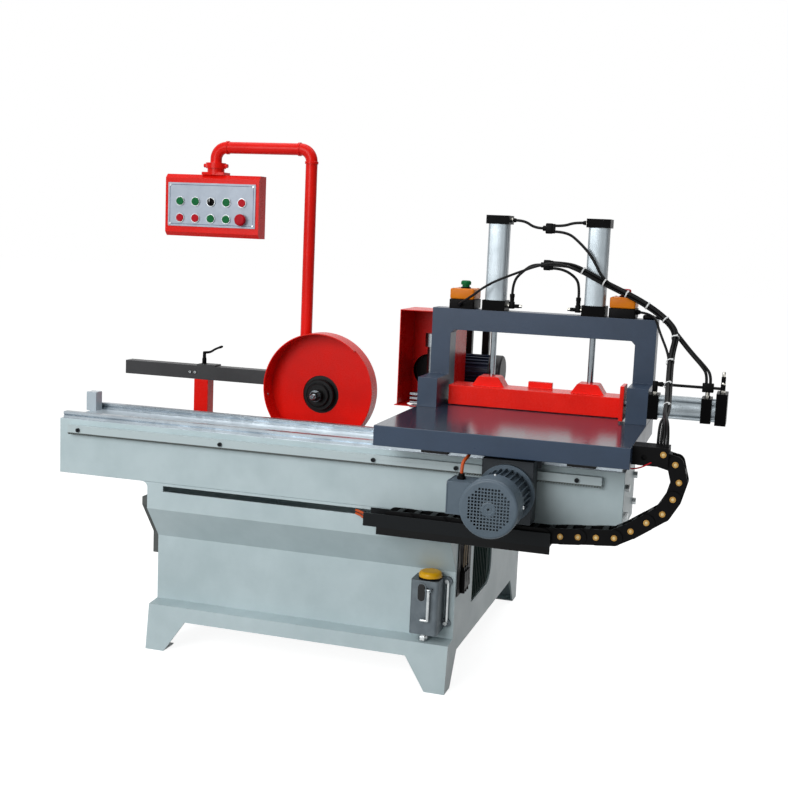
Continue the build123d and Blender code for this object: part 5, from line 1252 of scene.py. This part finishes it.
@dataclass
class ButtonStations:
    """Two button boxes on the gantry, each a black base with an amber lid."""

    glands: tuple[Point, Point] = PLACES.box_glands
    gland_ways: tuple[Way, Way] = (Way.FRONT, Way.RIGHT)
    xs: Pair = (397.0, 922.0)
    y: float = -60.5
    half: Pair = (42.0, 52.0)
    low: float = 1156.0
    split: float = 1187.0
    high: float = 1222.0
    lid_inset: float = 1.0
    lid_gap: float = 0.3
    screw_inset: float = 10.0
    screw_sunk: float = 0.6
    collar: Profile = ((13.2, 0), (17, 0), (17, 2), (16, 4.5), (13.2, 4.5))
    gland_cone: Profile = ((7.5, 6), (7.2, 11), (5, 14))

    def box(self, shell: Shell, x: float) -> None:
        """Add one box with its lid, lid screws and the collar of its button.

        Args:
            shell: The piece that gets it.
            x: The box's middle.
        """
        wide, deep = self.half
        lid_wide, lid_deep = wide - self.lid_inset, deep - self.lid_inset
        shell.add(block((x - wide, self.y - deep, self.low), (x + wide, self.y + deep, self.split),
                        corner=5, edge=1.5), BLACK_NYLON)
        shell.add(block((x - lid_wide, self.y - lid_deep, self.split + self.lid_gap),
                        (x + lid_wide, self.y + lid_deep, self.high), corner=7, edge=5), YELLOW_ABS)
        for side_x, side_y in around(wide - self.screw_inset, deep - self.screw_inset):
            seat = (x + side_x, self.y + side_y, self.high - self.screw_sunk)
            shell.add(screw_head(seat, Way.UP, radius=3.6, height=1.6), BLACK_OXIDE)
        shell.add(turned(self.collar, (x, self.y, self.high), Way.UP, sides=40, hollow=True),
                  BLACK_NYLON)

    def build(self) -> None:
        """Build both boxes and their cable glands, and colour the buttons."""
        shell = Shell("button_box_shells")
        for x in self.xs:
            self.box(shell, x)
        for seat, way in zip(self.glands, self.gland_ways):
            shell.add(hexagon(seat, way, across=17, height=6), BLACK_NYLON)
            shell.add(turned(self.gland_cone, seat, way, sides=20), BLACK_NYLON)
        shell.build("carriage", "button_boxes")
        paint(GREEN_ABS, "start_button")
        paint(RED_ABS, "stop_button")


@dataclass
class ControlPanel:
    """Red panel box on the pendant, with its printed plate, bezels and controls."""

    box_edge: float = 5.0
    pipe_edge: float = 0.8
    border_inset: float = 7.0
    border_width: float = 1.6
    screw_inset: float = 9.0
    pointer_half: float = 1.2
    pointer_inset: float = 1.0
    pointer_proud: float = 0.4
    pointer_sunk: float = 0.6
    greens: tuple[str, ...] = ("saw_start_button", "cutter_start_button", "feed_start_button",
                               "clamp_button", "release_button")
    reds: tuple[str, ...] = ("saw_stop_button", "feed_stop_button", "cutter_stop_button",
                             "emergency_stop")

    def build(self) -> None:
        """Dress the box and the controls, then add what is printed and screwed on."""
        softened("panel_box", RED_ENAMEL, self.box_edge)
        softened("pendant_arm", RED_ENAMEL, self.pipe_edge)
        paint(FACE_SHEET, "panel_faceplate")
        paint(ZINC_PLATE, "button_bezels")
        paint(GREEN_ABS, *self.greens)
        paint(RED_ABS, *self.reds)
        paint(BLACK_NYLON, "mode_selector")
        self.plate()
        self.pointer()

    def plate(self) -> None:
        """Print a border on the face plate and put a screw in each of its corners."""
        low, high = node_box("panel_faceplate")
        middle, half = (low + high) / 2, (high - low) / 2
        middle[1] = low[1]
        shell = Shell("panel_border_and_screws")
        shell.add(rim(middle, half[0] - self.border_inset, half[2] - self.border_inset, corner=5,
                      width=self.border_width, thickness=0.3, way=Way.FRONT), PRINT_BLUE)
        for side_x, side_z in around(half[0] - self.screw_inset, half[2] - self.screw_inset):
            seat = middle + np.array([side_x, 0, side_z])
            shell.add(screw_head(seat, Way.FRONT, radius=4.2, height=2.2), ZINC_PLATE)
        shell.build("panel")

    def pointer(self) -> None:
        """Put a white pointer line on the grip of the selector."""
        low, high = node_box("mode_selector")
        x, _, z = (low + high) / 2
        shell = Shell("selector_pointer")
        shell.add(block(
            (x - self.pointer_half, low[1] - self.pointer_proud, z + self.pointer_inset),
            (x + self.pointer_half, low[1] + self.pointer_sunk, high[2] - self.pointer_inset),
            corner=1, edge=0.3, way=Way.FRONT), WHITE_NYLON)
        shell.build("mode_selector")


@dataclass
class CableChain:
    """Cable chain with its bright pins: a fixed run in the trough and a bend on the chain body."""

    pitch: float = 50.6
    left: float = 345.0
    low: float = 556.0
    y: float = -614.5
    half_width: float = 28.0
    links: int = 13
    cambered: int = 4
    camber: float = 5.0
    angles: tuple[float, ...] = (29, 35, 35, 60, 75, 105, 165.5)
    travel: float = 550.0
    pin_ring: Profile = ((8.6, 0), (8.6, 2.4), (7.6, 3.2), (5.6, 3.2), (5.0, 2.2), (0.1, 2.2))
    pin_dome: Profile = ((4.6, 2.0), (4.2, 3.0), (1.6, 3.6), (0.1, 3.6))
    bracket_pin: Point = (1121.0, -652.5, 824.0)
    switch_cable_width: float = 4.0
    switch_cable: tuple[Point, ...] = (
        (1000, -655, 806), (1016, -655, 786), (1034, -655, 777), (1056, -656, 781),
        (1078, -655.5, 792), (1090, -651, 800))

    def pin(self, shell: Shell, seat: Point, way: Way) -> None:
        """Add one pin, a tan ring with a cream dome in its middle.

        Args:
            shell: The piece that gets it.
            seat: Its middle on the chain's face.
            way: Where it points.
        """
        shell.add(turned(self.pin_ring, seat, way, sides=24), TAN_PIN)
        shell.add(turned(self.pin_dome, seat, way, sides=20), CREAM_PIN)

    def pins(self, name: str, spots: np.ndarray) -> Shell:
        """Put a pin on both faces of the chain at each spot.

        Args:
            name: Name of the piece.
            spots: X and Z of the pins.

        Returns:
            The piece, not built yet.
        """
        shell = Shell(name)
        faces = ((Way.FRONT, self.y - self.half_width), (Way.BACK, self.y + self.half_width))
        for x, z in spots:
            for way, face in faces:
                self.pin(shell, (x, face, z), way)
        return shell

    def spots(self) -> np.ndarray:
        """Walk along the chain: each pin is one pitch from the last, at its link's angle.

        Returns:
            X and Z of the pins, from the fixed end.
        """
        straight = [0.0] * (self.links - self.cambered)
        turns = np.radians(straight + [self.camber] * self.cambered + list(self.angles))
        steps = self.pitch * np.column_stack([np.cos(turns), np.sin(turns)])
        walked = np.concatenate([[[0, 0]], np.cumsum(steps[:-1], axis=0)])
        return np.array([[self.left, self.low]]) + walked

    def build(self) -> None:
        """Dress the chain, put its pins on and lay the switch cable at its end."""
        paint(BLACK_NYLON, "drag_chain")
        name = "chain_run_in_trough"
        run = bpy.data.objects.new(name, merged_copy("chain_lower_run", name))
        run.data.materials.append(BLACK_NYLON.material())
        run.data.set_sharp_from_angle(angle=SHARP_ANGLE)
        link_piece(run, "base", ["chain_lower_run"])
        spots = self.spots()
        low_pins = self.pins("chain_pins_in_trough", spots[:self.links]).build("base")
        for piece in (run, low_pins):
            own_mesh(piece)
        self.pins("chain_pins_in_bend", spots[self.links:]).build("chain")
        end_pin = Shell("chain_end_pin")
        self.pin(end_pin, self.bracket_pin, Way.FRONT)
        end_pin.build("carriage")
        lay_cord("end_switch_cable", self.switch_cable, self.switch_cable_width, RED_ABS,
                 "carriage")


@dataclass
class FeedMotor:
    """Feed motor with fan cover, terminal box and gearbox."""

    x: float = 690.0
    z: float = 672.0
    gearbox_edge: float = 3.0
    lid_gap: float = 1.5
    lid_thickness: float = 5.0
    lid_screw_inset: float = 9.0
    box_low: Point = (547.5, -788.5, 626.0)
    box_high: Point = (547.5, -693.5, 718.0)
    gland: Point = (578.0, -741.0, 718.0)
    gland_cone: Profile = ((10, 8), (9.5, 14), (6, 17))
    boss: Profile = ((20, -1), (20, 0.4), (18, 1.0), (14, 1.0), (13, 0.2), (9, 0.2), (8, 1.0),
                     (5, 1.0), (4.4, -1), (0.1, -1))
    cover_screw_inset: float = 10.0
    cover_screw_sunk: float = 0.6

    def build(self) -> None:
        """Dress motor, cover and gearbox, and add what is screwed on."""
        paint(MOTOR_ENAMEL, "feed_motor", "motor_fan_cover")
        softened("gearbox", SLATE_IRON, self.gearbox_edge)
        paint(BLACK_OXIDE, "pinion")
        self.terminal_lid()
        self.cover_boss()

    def terminal_lid(self) -> None:
        """Build the lid of the terminal box with its screws and the cable gland."""
        low, high, gap = np.array(self.box_low), np.array(self.box_high), self.lid_gap
        shell = Shell("terminal_box_lid")
        shell.add(block(low + (0, -gap, -gap), high + (self.lid_thickness, gap, gap), corner=9,
                        edge=2, way=Way.RIGHT), MOTOR_ENAMEL)
        middle, half = (low + high) / 2, (high - low) / 2 - self.lid_screw_inset
        for side_y, side_z in around(half[1], half[2]):
            seat = (low[0], middle[1] + side_y, middle[2] + side_z)
            shell.add(screw_head(seat, Way.LEFT, radius=4.4, height=2.6), ZINC_PLATE)
        shell.add(hexagon(self.gland, Way.UP, across=22, height=8), BLACK_NYLON)
        shell.add(turned(self.gland_cone, self.gland, Way.UP, sides=24), BLACK_NYLON)
        shell.build("carriage")

    def cover_boss(self) -> None:
        """Build the boss in the middle of the fan cover and the four screws on its rim."""
        low, high = node_box("motor_fan_cover")
        shell = Shell("fan_cover_boss")
        shell.add(turned(self.boss, (self.x, low[1], self.z), Way.FRONT, sides=40), MOTOR_ENAMEL)
        middle = np.array([self.x, high[1] - self.cover_screw_inset, self.z])
        reach = (high[0] - low[0]) / 2 - self.cover_screw_sunk
        for way in (Way.UP, Way.RIGHT, Way.LEFT, Way.DOWN):
            seat = middle + way.axes[2] * reach
            shell.add(screw_head(seat, way, radius=4.6, height=3.2), ZINC_PLATE)
        shell.build("carriage")


@dataclass
class OilPump:
    """One-shot oil pump on the lower front: casting, sight window, cap, lever and outlet."""

    body_edge: float = 2.5
    cap_edge: float = 0.8
    window: Pair = (426.0, 315.0)
    window_half: Pair = (11.5, 27.0)
    window_proud: float = 2.6
    frame_width: float = 3.0
    front: float = -551.5
    outlet: Point = (426.0, -511.5, 154.0)
    outlet_sleeve: Profile = ((9.5, 14), (9.5, 22), (8.4, 24))
    seal: Profile = ((34, 0.2), (37, 0.6), (37, 5), (33, 6.5), (28, 6.5))
    rail: Point = (490.0, -484.0, 206.0)
    rail_radius: float = 5.0
    rail_length: float = 134.0
    rail_bolt: Point = (-2.0, 0.8, 0.0)

    def build(self) -> None:
        """Dress the pump and add its window, seal, union nut and guard rail."""
        softened("oil_pump_body", CAST_ALUMINIUM, self.body_edge)
        softened("oil_pump_cap", CAP_YELLOW, self.cap_edge)
        paint(ZINC_PLATE, "oil_pump_lever")
        shell = Shell("oil_pump_window_and_nuts")
        self.sight(shell)
        shell.add(hexagon(self.outlet, Way.UP, across=24, height=14), ZINC_PLATE)
        shell.add(turned(self.outlet_sleeve, self.outlet, Way.UP, sides=24), ZINC_PLATE)
        low, high = node_box("oil_pump_cap")
        seat = ((low[0] + high[0]) / 2, (low[1] + high[1]) / 2, low[2])
        shell.add(turned(self.seal, seat, Way.UP, sides=48), BLACK_NYLON)
        rod = ((self.rail_radius, 0), (self.rail_radius, self.rail_length))
        shell.add(turned(rod, self.rail, Way.UP, sides=20), ZINC_PLATE)
        rail_ends = (self.rail_bolt, np.add(self.rail_bolt, (0, 0, self.rail_length)))
        for bolt in stepped(self.rail, rail_ends):
            shell.add(hexagon(bolt, Way.FRONT, across=13, height=8), ZINC_PLATE)
        shell.build("base")

    def sight(self, shell: Shell) -> None:
        """Add the window with its round ends and the frame round it.

        Args:
            shell: The piece that gets them.
        """
        x, z = self.window
        half_x, half_z = self.window_half
        width, shy = self.frame_width, 0.1
        shell.add(block((x - half_x, self.front - self.window_proud, z - half_z),
                        (x + half_x, self.front, z + half_z), corner=half_x - shy, edge=1.2,
                        way=Way.FRONT, steps=8), GLOSS_BLACK)
        shell.add(rim((x, self.front, z), half_x + width, half_z + width,
                      corner=half_x + width - shy, width=width, thickness=2.2, way=Way.FRONT,
                      steps=10), CAST_ALUMINIUM)


@dataclass
class SideServices:
    """Valve island on the right side with its wires, covers, mains gland and the slot's hoses."""

    cover_edge: float = 1.0
    island_edge: float = 1.5
    coil_x: float = 519.0
    coil_top: float = 368.0
    coil_ys: Point = (-405.0, -381.0, -357.0)
    wall_x: float = 511.0
    entry_y: float = -446.0
    entry_z: float = 474.0
    entry_step: Pair = (8.0, -4.0)
    wire: float = 5.0
    wire_rise: float = 34.0
    wire_bulge: Pair = (6.0, 2.0)
    wire_lead: float = 8.0
    slot_hose: float = 8.0
    slot_drops: Pair = (0.0, 10.0)
    slot_way: tuple[Point, ...] = (
        (205, -549, 547), (222, -560, 546.5), (244, -578, 545), (272, -596, 543), (318, -604, 542))
    slot_fall: tuple[Point, ...] = (
        (0, 0, -1), (0, 0, -1), (0, -1, -1), (0, -1, -1), (0, -1, -1))

    def wires(self) -> None:
        """Lead two wires from each coil up and forward into the cabinet wall."""
        x, top, lead = self.coil_x, self.coil_top, self.wire_lead
        bulge, rest = self.wire_bulge
        for count, coil_y in enumerate(np.repeat(self.coil_ys, 2).tolist()):
            finish = CABLE_GREY if count % 3 == 1 else PALE_WIRE
            y = coil_y + self.wire * (count % 2 - 0.5)
            entry_y = self.entry_y + self.entry_step[0] * count
            entry_z = self.entry_z + self.entry_step[1] * count
            points = [(x, y, top), (x, y, top + self.wire_rise),
                      (x + bulge, (2 * y + entry_y) / 3, entry_z - lead),
                      (x + rest, entry_y + lead, entry_z), (self.wall_x, entry_y, entry_z)]
            lay_cord(f"valve_wire_{count + 1}", points, self.wire, finish, "base")

    def slot_hoses(self) -> None:
        """Lead two orange hoses out of the front slot, one below the other, into the trough."""
        for count, drop in enumerate(self.slot_drops):
            points = (np.array(self.slot_way) + drop * np.array(self.slot_fall)).tolist()
            lay_cord(f"slot_hose_{count + 1}", points, self.slot_hose, ORANGE_PVC, "base")

    def build(self) -> None:
        """Dress the covers and the island, then lay the wires and hoses."""
        softened("side_covers", COVER_ENAMEL, self.cover_edge)
        softened("valve_block", BLACK_NYLON, self.island_edge)
        paint(BLACK_NYLON, "mains_gland")
        self.wires()
        self.slot_hoses()


@dataclass
class Saw:
    """Trimming saw: red dish, black flange, spacer, nut and threaded nose."""

    dish_edge: float = 1.2
    x: float = -153.0
    z: float = 805.0
    flange_back: float = 54.5
    flange: Profile = ((15, 0), (54, 0), (56, 2), (56, 12), (54, 14), (46, 14), (45, 12), (42, 12),
                       (41, 14), (40, 14), (40, 20), (38, 22), (22, 22))
    spacer: Profile = ((21.5, 22), (22, 22.6), (22, 33), (20.8, 33.6), (20.8, 34.4), (22, 35),
                       (22, 45.4), (21, 46), (10, 46))
    washer: Profile = ((10, 44), (21, 44), (21, 47.5), (10, 47.5))
    nut_from: float = 47.0
    nose_start: Pair = (9.0, 46)
    nose_end: Profile = ((9.0, 78), (7.6, 80), (3.0, 80), (1.5, 77.5), (0.1, 77))
    thread_span: Pair = (62.0, 76.0)
    thread_radii: Pair = (9.0, 10.0)
    thread_turns: int = 6
    shaft_radius: float = 15.0
    rivet: Point = (-339.8, 18.0, 797.0)

    def nose(self) -> list[Pair]:
        """Draw the threaded nose: between its ends the radius steps from root to tip and back.

        Returns:
            The nose's profile.
        """
        heights = np.linspace(*self.thread_span, 2 * self.thread_turns + 1)
        radii = np.array(self.thread_radii)[np.arange(len(heights)) % 2]
        return [self.nose_start, *zip(radii.tolist(), heights.tolist()), *self.nose_end]

    def build(self) -> None:
        """Dress the dish and motor, and build the arbor in detail."""
        softened("saw_hood", RED_ENAMEL, self.dish_edge)
        paint(SAW_ENAMEL, "saw_motor")
        seat = (self.x, self.flange_back, self.z)
        shell = Shell("saw_arbor_parts")
        shell.add(turned(self.flange, seat, Way.FRONT, sides=64), BLACK_OXIDE)
        shell.add(turned(self.spacer, seat, Way.FRONT, sides=48), BLACK_OXIDE)
        shell.add(turned(self.washer, seat, Way.FRONT, sides=48, hollow=True), CHROME)
        shell.add(hexagon((self.x, self.flange_back - self.nut_from, self.z), Way.FRONT, across=32,
                          height=14.5), BLACK_OXIDE)
        shell.add(turned(self.nose(), seat, Way.FRONT, sides=40), CHROME)
        _, high = node_box("saw_arbor")
        shaft = ((self.shaft_radius, 0), (self.shaft_radius, high[1] - self.flange_back))
        shell.add(turned(shaft, seat, Way.BACK, sides=32), SHAFT_STEEL)
        shell.build("saw_arbor", "saw_arbor")
        rivet = Shell("saw_hood_rivet")
        rivet.add(screw_head(self.rivet, Way.RIGHT, radius=5, height=3), ZINC_PLATE)
        rivet.build("base")


@dataclass
class WorkStop:
    """Dark stop bar on its red post, with the clamping lever."""

    bar_edge: float = 2.0
    post_edge: float = 2.5
    x: float = -608.0
    y: float = 43.5
    bar_top: float = 886.25
    screw_radius: float = 6.0
    screw_low: float = 780.0
    hub: Profile = ((7.5, 0), (8, 1), (8, 18), (6.4, 24), (6, 40), (5, 45), (0.1, 46))
    arm_steps: int = 24
    arm_rise: float = 41.0
    arm_length: float = 74.0
    arm_slope: float = 8.0
    arm_bend: float = 20.0
    bend_share: float = 0.42
    bend_rate: float = 14.0
    arm_root: float = 4.9
    arm_taper: float = 1.6
    arm_tip: float = 1.5
    grip_swell: float = 1.2
    grip_share: float = 0.9
    grip_width: float = 0.12
    screws: tuple[Point, ...] = ((-652.0, 18.5, 855.0), (-632.0, 18.5, 855.0))

    def arm(self) -> Surface:
        """Carry a circle along the lever's arm.

        The height rises with the share s of its length, and by a logistic bend times s on top.
        The radius tapers with s, and a bell curve near the end swells it to a grip.

        Returns:
            The arm.
        """
        share = np.linspace(0, 1, self.arm_steps)
        bend = 1 / (1 + np.exp(-self.bend_rate * (share - self.bend_share)))
        height = self.arm_rise + self.arm_slope * share + self.arm_bend * bend * share
        path = np.column_stack([self.x + self.arm_length * share, np.full(self.arm_steps, self.y),
                                self.bar_top + height])
        grip = np.exp(-((share - self.grip_share) / self.grip_width) ** 2)
        radius = self.arm_root - self.arm_taper * share + self.grip_swell * grip
        radius[-1] = self.arm_tip
        return tube(path, radius, Way.BACK.value)

    def build(self) -> None:
        """Dress bar and post, and build the lever on its clamping screw."""
        softened("stop_bar", CHARCOAL_STEEL, self.bar_edge)
        softened("stop_post", RED_ENAMEL, self.post_edge)
        seat = (self.x, self.y, self.bar_top)
        shank = ((self.screw_radius, 0), (self.screw_radius, self.bar_top - self.screw_low))
        shell = Shell("clamping_lever")
        shell.add(turned(shank, seat, Way.DOWN, sides=24), ZINC_PLATE)
        shell.add(turned(self.hub, seat, Way.UP, sides=32), BLACK_NYLON)
        shell.add(self.arm(), BLACK_NYLON)
        shell.build("clamp_lever", "clamp_lever")
        screws = Shell("stop_bar_screws")
        for screw in self.screws:
            screws.add(screw_head(screw, Way.FRONT, radius=5.4, height=4.4), ZINC_PLATE)
        screws.build("stop_bar")


@dataclass
class Castings:
    """Nodes whose shape is right, with the width of their rounded edges or only a finish."""

    soft: tuple[tuple[str, Finish, float], ...] = (
        ("base_cabinet", PALE_ENAMEL, 2.0), ("bed_beam", BED_ENAMEL, 2.0),
        ("chain_tray", TRAY_ENAMEL, 0.8), ("carriage_table", TABLE_ENAMEL, 2.0),
        ("gantry_frame", BLUE_ENAMEL, 2.5), ("chain_bracket", BLACK_NYLON, 1.0),
        ("clamp_beam", CLAMP_ENAMEL, 2.5), ("pusher_plate", CLAMP_ENAMEL, 2.0),
        ("cylinder_caps", BLACK_ANODISED, 2.0), ("cutter_hood", HOOD_ENAMEL, 0.8),
        ("lift_posts", BLACK_OXIDE, 1.5), ("bearing_blocks", BLACK_OXIDE, 2.0))
    plain: tuple[tuple[str, Finish], ...] = (
        ("guide_rails", RAIL_STEEL), ("feed_rack", RACK_ENAMEL), ("bed_bolts", SCREW_STEEL),
        ("cylinder_barrels", ANODISED_TUBE), ("clamp_rods", CHROME), ("pusher_rod", CHROME),
        ("lift_motor", LIFT_ENAMEL), ("spindle_housing", CAST_ALUMINIUM),
        ("cutter_motor", MOTOR_ENAMEL), ("cutter_shaft", SHAFT_STEEL), ("cutter_stack", TOOL_STEEL))

    def build(self) -> None:
        """Round the edges of the sheet and cast nodes, and finish the rest as they are."""
        for node, finish, edge in self.soft:
            softened(node, finish, edge)
        for node, finish in self.plain:
            paint(finish, node)


@dataclass(frozen=True)
class Lamp:
    """A square soft lamp: where it hangs and its side, in metres, and its power in watts."""

    name: str
    place: Point
    side: float
    watts: float


@dataclass
class Studio:
    """Pale floor, soft lamps and the camera at the photograph's angle."""

    eye: Point = (1354.4, -3969.1, 1400.0)
    yaw: float = 16.968
    pitch: float = 7.715
    roll: float = -2.427
    focal_px: float = 1200.0
    frame_px: float = 788.0
    sensor: float = 36.0
    floor_half: float = 30000.0
    floor_colour: str = "#A6A8A8"
    floor_glow: float = 0.91
    sky: float = 0.3
    flag: float = 0.3
    flag_span: Pair = (0.1, 0.8)
    aim: Point = (0.2, -0.2, 0.8)
    lamps: tuple[Lamp, ...] = (Lamp("key_softbox", (-1.5, -5.7, 2.9), 3.4, 240.0),
                               Lamp("top_softbox", (0.2, 0.2, 4.2), 4.0, 80.0))

    def camera(self) -> None:
        """Stand the camera at the eye, turned by yaw, pitch and roll."""
        yaw, pitch, roll = np.radians([self.yaw, self.pitch, self.roll])
        ahead = np.array([-math.sin(yaw) * math.cos(pitch), math.cos(yaw) * math.cos(pitch),
                          -math.sin(pitch)])
        right = np.array([math.cos(yaw), math.sin(yaw), 0.0])
        down = np.cross(ahead, right)
        tilted_right = math.cos(roll) * right + math.sin(roll) * down
        tilted_down = -math.sin(roll) * right + math.cos(roll) * down
        lens = bpy.data.cameras.new("photo_camera")
        lens.sensor_width = self.sensor
        lens.lens = self.sensor * self.focal_px / self.frame_px
        holder = bpy.data.objects.new("photo_camera", lens)
        bpy.context.scene.collection.objects.link(holder)
        turn = Matrix(np.column_stack([tilted_right, -tilted_down, -ahead]).tolist())
        holder.matrix_world = Matrix.Translation(np.array(self.eye) * MM) @ turn.to_4x4()
        bpy.context.scene.camera = holder

    def floor(self) -> None:
        """Lay a pale floor that looks white to the camera and keeps the machine's shadow."""
        half = self.floor_half * MM
        mesh = bpy.data.meshes.new("studio_floor")
        mesh.from_pydata([(-half, -half, 0), (half, -half, 0), (half, half, 0), (-half, half, 0)],
                         [], [(0, 1, 2, 3)])
        floor = bpy.data.objects.new("studio_floor", mesh)
        bpy.context.scene.collection.objects.link(floor)
        paper = bpy.data.materials.new("white_studio_paper")
        paper.use_nodes = True
        tree = paper.node_tree
        tree.nodes.clear()
        matt = add_node(tree, "ShaderNodeBsdfDiffuse",
                        {"Color": linear(self.floor_colour)}).outputs[0]
        strength = add_node(tree, "ShaderNodeMath", {0: seen_rays(tree), 1: self.floor_glow},
                            operation="MULTIPLY").outputs[0]
        glow = add_node(tree, "ShaderNodeEmission",
                        {"Color": WHITE, "Strength": strength}).outputs[0]
        both = add_node(tree, "ShaderNodeAddShader", {0: matt, 1: glow}).outputs[0]
        add_node(tree, "ShaderNodeOutputMaterial", {"Surface": both})
        mesh.materials.append(paper)

    def world(self) -> None:
        """Make the surroundings white to the eye, softer as a lamp, and darker on the right.

        The dark right side works as a black flag: it keeps the faces that look there from paling.
        """
        world = bpy.data.worlds.new("white_studio")
        world.use_nodes = True
        tree = world.node_tree
        tree.nodes.clear()
        strength = add_node(tree, "ShaderNodeMapRange", {
            "Value": seen_rays(tree), "To Min": self.sky, "To Max": 1.0}).outputs[0]
        heading = add_node(tree, "ShaderNodeTexCoord").outputs["Generated"]
        rightward = add_node(tree, "ShaderNodeSeparateXYZ", {"Vector": heading}).outputs["X"]
        flag = add_node(tree, "ShaderNodeMapRange", {
            "Value": rightward, "From Min": self.flag_span[0], "From Max": self.flag_span[1],
            "To Min": 1.0, "To Max": self.flag}).outputs[0]
        eye = add_node(tree, "ShaderNodeLightPath").outputs["Is Camera Ray"]
        shade = add_node(tree, "ShaderNodeMath", {0: flag, 1: eye}, operation="MAXIMUM").outputs[0]
        strength = add_node(tree, "ShaderNodeMath", {0: strength, 1: shade},
                            operation="MULTIPLY").outputs[0]
        back = add_node(tree, "ShaderNodeBackground",
                        {"Color": WHITE, "Strength": strength}).outputs[0]
        add_node(tree, "ShaderNodeOutputWorld", {"Surface": back})
        bpy.context.scene.world = world

    def hang(self, lamp: Lamp) -> None:
        """Hang a lamp and turn it to the machine.

        Args:
            lamp: The lamp.
        """
        light = bpy.data.lights.new(lamp.name, "AREA")
        light.size = lamp.side
        light.energy = lamp.watts
        holder = bpy.data.objects.new(lamp.name, light)
        bpy.context.scene.collection.objects.link(holder)
        facing = (Vector(self.aim) - Vector(lamp.place)).to_track_quat("-Z", "Y")
        holder.matrix_world = Matrix.Translation(lamp.place) @ facing.to_matrix().to_4x4()

    def build(self) -> None:
        """Set up camera, floor, surroundings and lamps."""
        bpy.context.scene.view_settings.view_transform = "Standard"
        self.camera()
        self.floor()
        self.world()
        for lamp in self.lamps:
            self.hang(lamp)


def main() -> None:
    """Build every sub-assembly in order."""
    logging.basicConfig(level=logging.INFO, format="%(name)s: %(message)s")
    for assembly in (Studio(), Hoses(), AirFittings(), ButtonStations(), ControlPanel(),
                     CableChain(), FeedMotor(), OilPump(), SideServices(), Saw(), WorkStop(),
                     Castings()):
        assembly.build()
        log.info("%s done", type(assembly).__name__)


if __name__ == "__main__":
    main()
